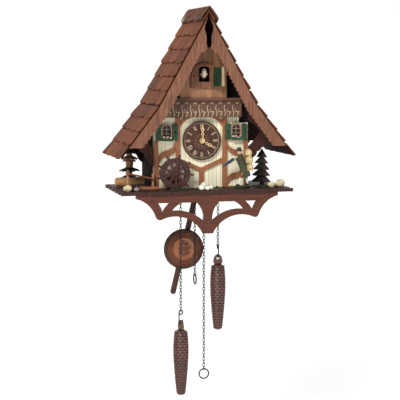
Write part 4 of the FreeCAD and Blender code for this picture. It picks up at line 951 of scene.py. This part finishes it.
# ---------------------------------------------------------------- windows, shutters and flowers
GLASS = paint("dark_glass", (0.012, 0.012, 0.016), 0.12, 0.2, 0.05, 1.0, None, 0.6)
WINDOW_X, PANE_HALF, SILL_H, SPRING_H = 53.8, 6.1, 78.1, 91.5
for sign, label in ((-1, "left"), (1, "right")):
    x = sign * WINDOW_X
    arch = [(x - PANE_HALF, SILL_H), (x + PANE_HALF, SILL_H), (x + PANE_HALF, SPRING_H)]
    for k in range(1, 10):
        a = math.pi * k / 10
        arch.append((x + PANE_HALF * math.cos(a), SPRING_H + PANE_HALF * math.sin(a)))
    arch.append((x - PANE_HALF, SPRING_H))
    pane = slab([(u, -84.9, h) for u, h in arch], (0, 0.6, 0))
    make(f"window_pane_{label}", [pane], GLASS, smooth=False)
    boards = []
    for s in (-1, 1):
        for k in range(2):
            xa = x + s * 12.8 - 3.7 + k * 3.9
            for h0, h1 in ((75.0, 81.5), (91.5, 98.2)):
                boards.append(panel(xa, xa + 3.4, h0, h1, -89.6, -0.5))
    make(f"shutter_boards_{label}", boards, GREEN, smooth=False, bevel=0.25)
    box_front = panel(x - 8.2, x + 8.2, 74.0, 77.6, -93.0, -0.6)
    make(f"flower_box_{label}", [box_front], GREEN, smooth=False, bevel=0.3)
    leaves, white, red = [], [], []
    for k in range(16):
        fx = x - 6.6 + 13.2 * (k + 0.5) / 16 + rng.uniform(-0.4, 0.4)
        centre = (fx, -91.4 + rng.uniform(-1.2, 1.0), 78.2 + rng.uniform(-0.3, 1.2))
        leaves.append(blob(centre, (1.3, 1.2, 1.0), 0.6, k, 6, 8))
    for k in range(9):
        fx = x - 6.2 + 12.4 * (k + 0.5) / 9
        y, h = -92.4 + rng.uniform(-0.5, 0.6), 79.0 + rng.uniform(-0.8, 1.3)
        for p in range(5):
            a = 2 * math.pi * p / 5 + k
            petal = blob((fx + 0.75 * math.cos(a), y, h + 0.75 * math.sin(a)), (0.62, 0.4, 0.62), 0.2, p, 6, 8)
            (red if k in (2, 6) else white).append(petal)
    make(f"flower_leaves_{label}", leaves, GREEN)
    make(f"white_flowers_{label}", white, WHITE)
    make(f"red_flowers_{label}", red, RED)

# ---------------------------------------------------------------- door and bird
HINGE = (13.0, -104.2)
OPEN = math.radians(126.0)
LEAF_H, BOARD_H = (155.2, 183.2), (156.4, 182.0)


def on_door(u, v, h):
    """A point on the open leaf: u from the hinge, v through its thickness."""
    x, y = -u, v
    return (HINGE[0] + x * math.cos(OPEN) - y * math.sin(OPEN),
            HINGE[1] + x * math.sin(OPEN) + y * math.cos(OPEN), h)


def leaf_slab(u0, u1, v0, v1, h0, h1):
    through = tuple(b - a for a, b in zip(on_door(u0, v0, h0), on_door(u0, v1, h0)))
    return slab([on_door(u0, v0, h0), on_door(u1, v0, h0), on_door(u1, v0, h1), on_door(u0, v0, h1)], through)


knuckles = [tube([(*HINGE, h), (*HINGE, h + 3.4)], [1.2, 1.2], 16) for h in (158.0, 177.0)]
knuckles.append(tube([(*HINGE, 153.8), (*HINGE, 184.6)], [0.6, 0.6], 12))
make("door_hinges", knuckles, BRASS, "door", "cuckoo_door")
door_boards = [leaf_slab(1.0, 17.3, -1.3, 1.3, *LEAF_H)]
for v0, v1 in ((1.3, 1.75), (-1.75, -1.3)):
    door_boards += [leaf_slab(1.6 + 5.2 * k, 6.4 + 5.2 * k, v0, v1, *BOARD_H) for k in range(3)]
make("door_leaf", door_boards, DOOR_GREEN, "door", smooth=False, bevel=0.35)
DOOR_EDGE = paint("door_edge_paint", (0.38, 0.27, 0.15), 0.55, 0.2, 0.3, 1.0, (0.30, 0.18, 0.10))
make("door_border", [leaf_slab(17.4, 21.4, -1.7, 1.7, *LEAF_H)], DOOR_EDGE, "door", smooth=False, bevel=0.5)
make("door_latch", [tube([(-15.6, -101.8, 170.6), (-15.6, -102.4, 170.6)], [1.5, 1.2], 20)], INNER)

BIRD_AT = (2.4, -90.0, 172.6)
SIDES = (-1, 1)
body = tube(shifted(BIRD_AT, (0, 11.5, -2.4), (0, 6.0, -2.6), (0, 3.0, -2.2), (0, 0, -1.6), (0, -2.4, 0.6),
                    (0, -3.0, 3.0), (0, -3.2, 5.4), (0, -3.0, 7.6), (0, -2.8, 8.6)),
            [0.9, 1.7, 3.8, 4.6, 4.5, 3.6, 3.4, 2.4, 0.6], 20, 1.0, 0.06)
wings = [tube(shifted(BIRD_AT, (s * 4.3, -1.8, 1.0), (s * 4.6, 1.4, -0.8), (s * 3.2, 6.2, -2.0)),
              [0.9, 1.6, 0.4], 12, 1.0, 0.1) for s in SIDES]
make("cuckoo_body", [body] + wings, BIRD, "bird_arm", "bird")
beak = tube(shifted(BIRD_AT, (0, -5.8, 5.4), (0, -7.4, 5.2), (0, -8.4, 4.8)), [1.1, 0.6, 0.15], 10)
make("cuckoo_beak", [beak], paint("beak_paint", (0.65, 0.30, 0.05), 0.4, 0.2, 0.2), "bird_arm")
eyes = [blob(*shifted(BIRD_AT, (s * 2.5, -5.1, 6.2)), (0.55, 0.55, 0.55), 0.0, 0, 8, 10) for s in SIDES]
make("cuckoo_eyes", eyes, GLASS, "bird_arm")
breast = blob(*shifted(BIRD_AT, (0, -4.5, -0.6)), (2.9, 1.9, 3.4), 0.15, 2.0, 10, 16)
make("cuckoo_breast", [breast], WHITE, "bird_arm")


# ---------------------------------------------------------------- fir trees
BARK = wood("bare_fir_wood", (0.42, 0.240, 0.140), "Z", 0.6, 0.45, 1.5, 0.4, 0.5)
FIR_BROWN = wood("stained_fir_wood", (0.050, 0.020, 0.017), "Z", 0.55, 0.45, 1.6, 0.4, 0.4)
DECK_TOP = 3.0
# share of the radius, share of the drop, and how far the jagged tips reach, from the stem outwards
WHORL = ((0.16, 1.0, 0.0), (0.45, 0.62, 0.0), (0.75, 0.28, 0.4), (1.0, 0.0, 1.0))


def skirt(x, y, h, radius, drop, teeth, seed, a0=0.0, a1=2 * math.pi):
    """One whorl of carved branches: a jagged cone that droops at its tips, over part of a turn."""
    steps = teeth * 4
    whole = a1 - a0 > 6.2
    cols = steps if whole else steps + 1
    verts = []
    for side in (0, 1):
        for share, up, jag in WHORL:
            for k in range(cols):
                a = a0 + (a1 - a0) * k / steps
                tooth = 0.5 + 0.5 * math.cos(2 * math.pi * k / 4.0)
                local = noise.noise(Vector((k * 0.45, seed, share)))
                r = radius * share * (1 - 0.30 * jag * (1 - tooth) + 0.16 * local * jag)
                z = h + drop * up - 0.9 * jag * tooth - side * 1.3 + 0.5 * local
                verts.append((x + r * math.cos(a), y + r * math.sin(a), z))
    n = cols * len(WHORL)
    faces = []
    last = cols if whole else cols - 1
    for i in range(len(WHORL) - 1):
        for k in range(last):
            p, q = i * cols + k, i * cols + (k + 1) % cols
            faces.append((p, p + cols, q + cols, q))
            faces.append((n + p, n + q, n + q + cols, n + p + cols))
    tips = (len(WHORL) - 1) * cols
    for k in range(last):
        q = (k + 1) % cols
        faces.append((k, q, n + q, n + k))
        faces.append((tips + k, n + tips + k, n + tips + q, tips + q))
    if not whole:
        for i in range(len(WHORL) - 1):
            for k in (0, cols - 1):
                p = i * cols + k
                faces.append((p, n + p, n + p + cols, p + cols))
    return verts, faces


def right_fir(x, y, height, radius, tiers, split):
    """The right tree: tiers of branches, dark green over one part of each turn and brown over the rest."""
    dark, light = [], []
    for i in range(tiers):
        t = i / (tiers - 1)
        r = radius * (1 - 0.42 * t ** 1.5)
        h = DECK_TOP + height * (0.13 + 0.66 * t)
        drop = height * (0.20 - 0.03 * t)
        teeth = 9 - i
        dark.append(skirt(x, y, h, r, drop, teeth, i * 3.1, split[0], split[1]))
        light.append(skirt(x, y, h - 0.6, r * 0.88, drop, teeth, i * 5.7, split[1], split[0] + 2 * math.pi))
    tip = shifted((x, y, DECK_TOP), (0, 0, height * 0.80), (0, 0, height * 0.92), (0.3, 0, height))
    dark.append(tube(tip, [3.0, 1.7, 0.3], 12, 1.0, 0.2))
    stem = [(x, y, h) for h in (DECK_TOP, 4.6, 9.0, DECK_TOP + height * 0.8)]
    make("right_fir_needles", dark, FIR, node="fir_trees")
    make("right_fir_carving", light + [tube(stem, [5.4, 3.6, 2.9, 1.8], 14, 1.0, 0.18)], FIR_BROWN)


def left_fir(x, y):
    """The left tree: a thick bare stem with tan shelves, dark spiky whorls and a wide dark cap."""
    dark = [skirt(x, y, 53.5, 11.5, 6.5, 8, 2.0), skirt(x, y, 58.0, 7.5, 5.5, 7, 4.0),
            skirt(x, y, 26.5, 16.4, 5.0, 10, 5.0), skirt(x, y, 15.5, 13.0, 4.0, 9, 8.0),
            tube([(x, y, 60.0), (x + 0.4, y, 63.0), (x + 0.2, y, 64.8)], [4.6, 2.6, 0.4], 12, 1.0, 0.3)]
    stem = [(x, y, DECK_TOP), (x, y, 5.0), (x, y, 12.0), (x, y, 24.0), (x + 0.3, y, 38.0), (x, y, 50.0),
            (x, y, 60.0)]
    tan = [skirt(x, y, 44.5, 13.6, 5.0, 9, 1.0), skirt(x, y, 41.0, 11.0, 4.0, 8, 6.0),
           tube(stem, [9.5, 7.0, 5.4, 5.0, 5.6, 4.8, 3.4], 16, 1.0, 0.22)]
    make("left_fir_needles", dark, FIR, node="fir_trees")
    make("left_fir_carving", tan, BARK)


left_fir(-97.0, -20.0)
right_fir(100.0, -72.0, 57.0, 14.8, 5, (1.75, 4.45))


# ---------------------------------------------------------------- logs, chute, stones, moss and grass
def log(x0, x1, y, h, r, seed):
    return tube(line((x0, y, h), (x1, y, h), 9), [r * 0.94] + [r] * 7 + [r * 0.95], 22, 1.0, 0.09, seed)


make("thick_log", [log(-123.6, -80.3, -44.4, 10.3, 6.9, 1.0)], LOG, node="log_stack")
make("thick_log_knots", [blob((-112.0, -50.6, 13.0), (1.8, 1.4, 1.6), 0.3, 4.0, 8, 12),
                         blob((-101.5, -49.6, 7.2), (1.3, 1.6, 1.2), 0.3, 6.0, 8, 12)], LOG)
make("small_logs", [log(-98.3, -72.0, -101.4, 6.0, 2.8, 3.0), log(-96.8, -70.8, -107.9, 6.0, 2.8, 7.0)],
     RED_LOG, node="log_stack")

TROUGH_Y, TROUGH_ROWS, TROUGH_SIDE = -98.6, 24, 13
trough = []
for i in range(TROUGH_ROWS):
    t = i / (TROUGH_ROWS - 1)
    x, h = -118.0 + 42.6 * t, 30.4 - 10.0 * t
    for k in range(TROUGH_SIDE):
        a = math.pi * (1.08 + 0.84 * k / 12)
        r = 3.2 * (1 + 0.06 * noise.noise(Vector((x * 0.3, k * 0.5, 2.0))))
        trough.append((x, TROUGH_Y + r * math.cos(a), h + r * math.sin(a)))
    for k in range(TROUGH_SIDE):
        a = math.pi * (1.92 - 0.84 * k / 12)
        trough.append((x, TROUGH_Y + 2.1 * math.cos(a), h + 2.1 * math.sin(a)))
around = 2 * TROUGH_SIDE
faces = grid_faces(TROUGH_ROWS, around)
faces += [tuple(range(around)), tuple(reversed(range((TROUGH_ROWS - 1) * around, TROUGH_ROWS * around)))]
make("water_trough", [(trough, faces)], RED_LOG, node="water_chute", angle=50)
posts = [tube([(-76.0, -93.0, 3.0), (-76.1, -93.0, 12.0), (-75.9, -93.0, 20.0), (-76.0, -93.0, 26.2)],
              [2.2, 2.0, 2.1, 1.9], 14, 1.0, 0.15, 2.0),
         tube([(-114.0, -93.0, 3.0), (-114.1, -93.0, 16.0), (-114.0, -93.0, 32.6)],
              [2.2, 2.0, 1.9], 14, 1.0, 0.15, 5.0)]
make("trough_posts", posts, BARK)

# kind, x, y, radius and half height
STONES = (("cream", -118.5, -115.0, 6.8, 5.0), ("grey", -105.0, -112.5, 4.2, 3.0),
          ("white", -9.4, -122.8, 4.6, 4.4), ("white", -0.6, -123.6, 3.8, 3.6),
          ("white", 5.6, -119.0, 3.6, 3.6), ("white", -4.0, -114.6, 4.6, 6.0),
          ("cream", 103.0, -109.0, 5.6, 4.8), ("cream", 118.0, -106.0, 7.4, 6.2))
stones = {"cream": [], "white": [], "grey": []}
for i, (kind, x, y, r, rh) in enumerate(STONES):
    centre = (x, y, DECK_TOP + rh - 0.5)
    stones[kind].append(blob(centre, (r * 0.98, r * 0.88, rh * 0.97), 0.16, i * 1.7, 12, 18))
GREY = paint("grey_stone", (0.32, 0.27, 0.27), 0.6, 0.25, 0.5, 1.2, (0.5, 0.42, 0.4))
make("cream_stones", stones["cream"], STONE, node="stones")
make("white_pebbles", stones["white"], WHITE, node="stones")
make("grey_pebble", stones["grey"], GREY, node="stones")

MOSS = paint("moss", (0.022, 0.034, 0.010), 0.8, 0.5, 0.8, 2.0, (0.16, 0.15, 0.04))
# x, y, spread along x, and how many tufts
MOSS_PATCHES = ((-43.0, -115.5, 13.0, 46), (-84.0, -108.5, 12.0, 16), (103.0, -106.0, 12.0, 14),
                (92.0, -92.0, 12.0, 26), (-110.0, -107.0, 7.0, 12), (16.0, -92.0, 16.0, 16))
moss_parts, blades = [], []
for cx, cy, spread, count in MOSS_PATCHES:
    for k in range(count):
        x = cx + rng.uniform(-spread, spread)
        y = cy + rng.uniform(-2.6, 2.6)
        r = rng.uniform(0.9, 1.9)
        centre = (x, y, DECK_TOP + r * 0.45)
        moss_parts.append(blob(centre, (r * 1.3, r, r * 0.8), 0.6, k * 0.9 + cx, 6, 8))
        if k % 2 == 0:
            tip = (x + rng.uniform(-2.5, 2.5), y + rng.uniform(-1, 1), DECK_TOP + rng.uniform(3.0, 7.5))
            mid = ((x + tip[0]) / 2 - 0.4, (y + tip[1]) / 2, DECK_TOP + (tip[2] - DECK_TOP) * 0.6)
            blades.append(tube([(x, y, DECK_TOP), mid, tip], [0.32, 0.25, 0.06], 5))
make("moss_tufts", moss_parts, MOSS)
make("grass_blades", blades, MOSS)


# ---------------------------------------------------------------- water wheel
WX, WH = -44.5, 26.5
RIM_IN, RIM_OUT, SECTORS, PADDLES = 15.0, 22.7, 18, 9


def on_wheel(r, a, y, across=0.0):
    """A point of the wheel: radius, angle from the top, y, and a step square to the radius."""
    return (WX + math.sin(a) * r + math.cos(a) * across, y, WH + math.cos(a) * r - math.sin(a) * across)


rims = []
for y0, y1 in ((-105.9, -103.9), (-100.1, -98.1)):
    for k in range(SECTORS):
        a0, a1 = 2 * math.pi * (k + 0.03) / SECTORS, 2 * math.pi * (k + 0.97) / SECTORS
        outline = [on_wheel(RIM_OUT, a0 + (a1 - a0) * j / 4, y0) for j in range(5)]
        outline += [on_wheel(RIM_IN, a1 - (a1 - a0) * j / 4, y0) for j in range(5)]
        rims.append(slab(outline, (0, y1 - y0 + rng.uniform(-0.15, 0.15), 0)))
paddles = []
for i in range(PADDLES):
    a = math.radians(40.0 * i + 15.0)
    for r0, r1, w in ((3.0, 16.5, 1.7), (16.5, 24.4, 1.9), (24.4, 28.4, 1.3)):
        corners = [on_wheel(r, a, -104.8, across) for r, across in ((r0, -w), (r1, -w), (r1, w), (r0, w))]
        paddles.append(slab(corners, (0, 5.6, 0)))
HUB = ((0.2, 0), (3.0, 0), (3.4, 0.6), (4.5, 1.4), (4.5, 3.0), (3.8, 3.6), (3.8, 6.4), (4.5, 7.0),
       (4.5, 9.2), (3.6, 9.8), (0.2, 9.8))
HUB_SIDES = 28
verts = [on_wheel(r, 2 * math.pi * k / HUB_SIDES, -107.6 + d) for r, d in HUB for k in range(HUB_SIDES)]
last = (len(HUB) - 1) * HUB_SIDES
faces = grid_faces(len(HUB), HUB_SIDES)
faces += [tuple(range(HUB_SIDES)), tuple(reversed(range(last, last + HUB_SIDES)))]
axle = tube([(WX, -109.3, WH), (WX, -74.2, WH)], [1.35, 1.35], 16)
make("mill_wheel_rims", rims, WHEEL, "wheel", "water_wheel", smooth=False, bevel=0.3)
make("mill_wheel_spokes", paddles, WHEEL, "wheel", smooth=False, bevel=0.3)
make("mill_wheel_hub", [(verts, faces), axle], WHEEL, "wheel")


# ---------------------------------------------------------------- walking peddler
SKIN = paint("skin_paint", (0.62, 0.36, 0.24), 0.5, 0.12, 0.15)
NAVY = paint("umbrella_paint", (0.012, 0.028, 0.055), 0.45, 0.3, 0.35, 1.2)
DARK = paint("hat_paint", (0.018, 0.015, 0.014), 0.5, 0.3, 0.3)
BROWN = paint("trouser_paint", (0.24, 0.10, 0.045), 0.55, 0.25, 0.35, 1.2)
YELLOW = paint("clock_case_paint", (0.50, 0.37, 0.17), 0.45, 0.3, 0.25, 1.0, (0.30, 0.16, 0.07))
MAN = (55.5, -104.0, 0.0)
HEAD = (MAN[0] - 1.6, MAN[1], 56.5)


def limb(points, radii, segments=14, flat=1.0, rough=0.1, seed=0.0):
    """A tube whose points are measured from the figure's own axis."""
    return tube(shifted(MAN, *points), radii, segments, flat, rough, seed)


def lump(origin, point, radii, rough, seed, rings, segments):
    return blob(*shifted(origin, point), radii, rough, seed, rings, segments)


base = blob((59.0, MAN[1] - 0.5, 4.6), (14.5, 6.4, 2.3), 0.25, 3.0, 10, 30)
make("peddler_base", [base], MOSS, node="peddler_figure")
coat = [limb([(8.6, 0, 19.6), (8.0, 0, 23.0), (6.6, 0, 29.0), (3.6, 0, 36.0), (1.2, 0, 43.0), (-0.4, 0, 48.6),
              (-1.2, 0, 52.0)], [7.2, 7.4, 6.4, 5.4, 5.9, 5.4, 2.8], 24, 0.80, 0.16, 2.0),
        limb([(0.6, -3.4, 48.8), (-3.6, -4.6, 45.6), (-8.4, -4.6, 46.2)], [2.7, 2.3, 1.9]),
        limb([(1.6, 3.2, 48.6), (5.2, 3.4, 44.6), (3.4, -1.4, 41.6)], [2.1, 1.8, 1.5], seed=4.0),
        limb([(-1.0, 0, 51.0), (-1.3, 0, 53.0)], [2.9, 2.4], 16, 1.0, 0.0)]
make("peddler_coat", coat, COAT)
make("peddler_hands", [lump(MAN, (-9.8, -4.6, 46.6), (1.7, 1.5, 1.5), 0.15, 1.0, 8, 12),
                       lump(MAN, (2.6, -2.4, 41.0), (1.5, 1.5, 1.4), 0.15, 2.0, 8, 12)], SKIN)
make("peddler_trousers", [
    limb([(4.6, -1.5, 26.5), (2.2, -1.0, 21.5), (0.4, -0.6, 18.0)], [3.2, 2.8, 2.4]),
    limb([(7.4, 1.2, 26.5), (9.2, 1.2, 21.0), (10.0, 1.0, 18.0)], [3.2, 2.8, 2.3], seed=3.0)], BROWN)
make("peddler_stockings", [
    limb([(0.5, -0.6, 18.6), (-0.6, -0.6, 14.0), (-2.4, -0.6, 8.4)], [1.7, 1.9, 1.3], rough=0.0),
    limb([(10.0, 1.0, 18.6), (11.0, 1.0, 14.0), (12.0, 1.0, 9.2)], [1.7, 1.9, 1.3], rough=0.0)], WHITE)
make("peddler_shoes", [lump(MAN, (-4.0, -0.8, 7.6), (3.0, 1.7, 1.4), 0.1, 1.0, 8, 14),
                       lump(MAN, (11.4, 0.8, 8.2), (2.9, 1.7, 1.5), 0.1, 2.0, 8, 14)], DARK)
make("peddler_head", [lump(HEAD, (0, 0, 0), (3.2, 3.3, 4.1), 0.05, 5.0, 14, 22),
                      lump(HEAD, (-0.9, -3.1, -0.1), (0.6, 0.7, 0.9), 0.0, 1.0, 8, 10),
                      lump(HEAD, (-0.6, -2.4, -2.0), (1.5, 1.0, 0.6), 0.0, 1.0, 8, 10)], SKIN)
make("peddler_hair", [lump(HEAD, (1.0, 0.9, 1.2), (3.1, 3.2, 3.4), 0.2, 7.0, 12, 18)], BROWN)
HAT = ((0.4, 64.0), (2.2, 63.9), (2.9, 63.0), (3.2, 61.2), (3.5, 60.2), (5.3, 59.6), (5.5, 59.0),
       (3.0, 58.9), (0.4, 58.9))
hat = lathe(HAT, (HEAD[0] - 0.2, HEAD[1]), 28, lambda h, a: 0.25 * math.sin(2 * a) if h < 60 else 0.0)
make("peddler_hat", [hat], DARK)

UMBRELLA_Y, UMBRELLA_ROWS, UMBRELLA_SIDES, PLEATS = MAN[1] - 4.5, 14, 32, 8
fold_path, fold_radii = [], []
for k in range(UMBRELLA_ROWS):
    t = k / (UMBRELLA_ROWS - 1)
    fold_path.append((25.9 + 20.6 * t, UMBRELLA_Y, 35.2 + 13.2 * t))
    fold_radii.append(0.4 + 2.1 * math.sin(math.pi * min(1.0, 0.08 + t * 0.62)) if t < 0.86 else 0.8)
smooth_verts, faces = tube(fold_path, fold_radii, UMBRELLA_SIDES)
pleated = []
for i, v in enumerate(smooth_verts):
    row, k = divmod(i, UMBRELLA_SIDES)
    if row < UMBRELLA_ROWS:
        c = Vector(fold_path[row])
        w = 1.0 - 0.22 * (0.5 + 0.5 * math.cos(math.pi * 2 * PLEATS * k / UMBRELLA_SIDES))
        v = tuple(c + (Vector(v) - c) * w)
    pleated.append(v)
make("peddler_umbrella", [(pleated, faces)], NAVY)
make("umbrella_stick", [tube([(25.7, UMBRELLA_Y, 35.1), (26.4, UMBRELLA_Y, 35.6)], [0.25, 0.4], 8),
                        tube([(44.0, UMBRELLA_Y, 46.8), (46.2, UMBRELLA_Y, 48.2)], [0.6, 0.7], 10)], YELLOW)

# ---------------------------------------------------------------- pack of clocks
case_parts, face_parts = [], []
front_y = -108.4
for cx, ch, w, tall in ((70.2, 34.4, 4.9, 11.0), (69.0, 46.0, 5.2, 11.6), (67.6, 56.6, 4.6, 9.6)):
    outline = [(cx - w, front_y, ch - tall / 2), (cx + w, front_y, ch - tall / 2),
               (cx + w, front_y, ch + tall * 0.18), (cx, front_y, ch + tall * 0.56),
               (cx - w, front_y, ch + tall * 0.18)]
    case_parts.append(slab(outline, (0, 7.0, 0)))
    face_parts.append(tube([(cx, front_y + 0.1, ch), (cx, front_y - 0.9, ch)], [2.3, 2.0], 20))
make("pack_clocks", case_parts, YELLOW, node="peddler_pack", smooth=False, bevel=0.4)
make("pack_dials", face_parts, CREAM)
rack = [tube([(74.2, -101.6, 29.0), (73.6, -101.6, 45.0), (72.0, -101.6, 60.4)], [0.9, 0.9, 0.8], 10),
        tube([(64.0, -101.2, 31.0), (62.6, -101.2, 45.0), (61.8, -101.2, 60.4)], [0.9, 0.9, 0.8], 10)]
RUNGS = ((61.9, 72.0, 60.0, 0.8), (63.8, 74.2, 30.0, 0.8), (62.8, 73.8, 40.0, 0.7), (62.2, 73.2, 50.4, 0.7))
for x0, x1, h, r in RUNGS:
    rack.append(tube([(x0, -101.4, h), (x1, -101.4, h)], [r, r], 10))
make("pack_rack", rack, BARK, node="peddler_pack")

# ---------------------------------------------------------------- stage
FLOOR_Z, WALL_Y, WALL_TOP, REACH = -0.75, 3, 4, 6      # in metres


def stage_plane(name, corners, material):
    mesh = bpy.data.meshes.new(name)
    mesh.from_pydata(corners, [], [tuple(range(len(corners)))])
    mesh.materials.append(material)
    obj = bpy.data.objects.new(name, mesh)
    bpy.context.scene.collection.objects.link(obj)


def lit_paint(name, colour, glow):
    """Pale studio paint that gives back a little light of its own."""
    material = paint(name, colour, 0.8, 0.02, 0.05)
    bsdf = material.node_tree.nodes["Principled BSDF"]
    bsdf.inputs["Emission Color"].default_value = (1.0, 1.0, 1.0, 1.0)
    bsdf.inputs["Emission Strength"].default_value = glow
    return material


stage_plane("floor", [(-REACH, -REACH, FLOOR_Z), (REACH, -REACH, FLOOR_Z), (REACH, WALL_Y, FLOOR_Z),
                      (-REACH, WALL_Y, FLOOR_Z)], lit_paint("floor_paint", (0.93, 0.93, 0.92), 0.37))
stage_plane("backdrop", [(-REACH, WALL_Y, FLOOR_Z), (REACH, WALL_Y, FLOOR_Z), (REACH, WALL_Y, WALL_TOP),
                         (-REACH, WALL_Y, WALL_TOP)], lit_paint("backdrop_paint", (0.95, 0.95, 0.95), 0.27))
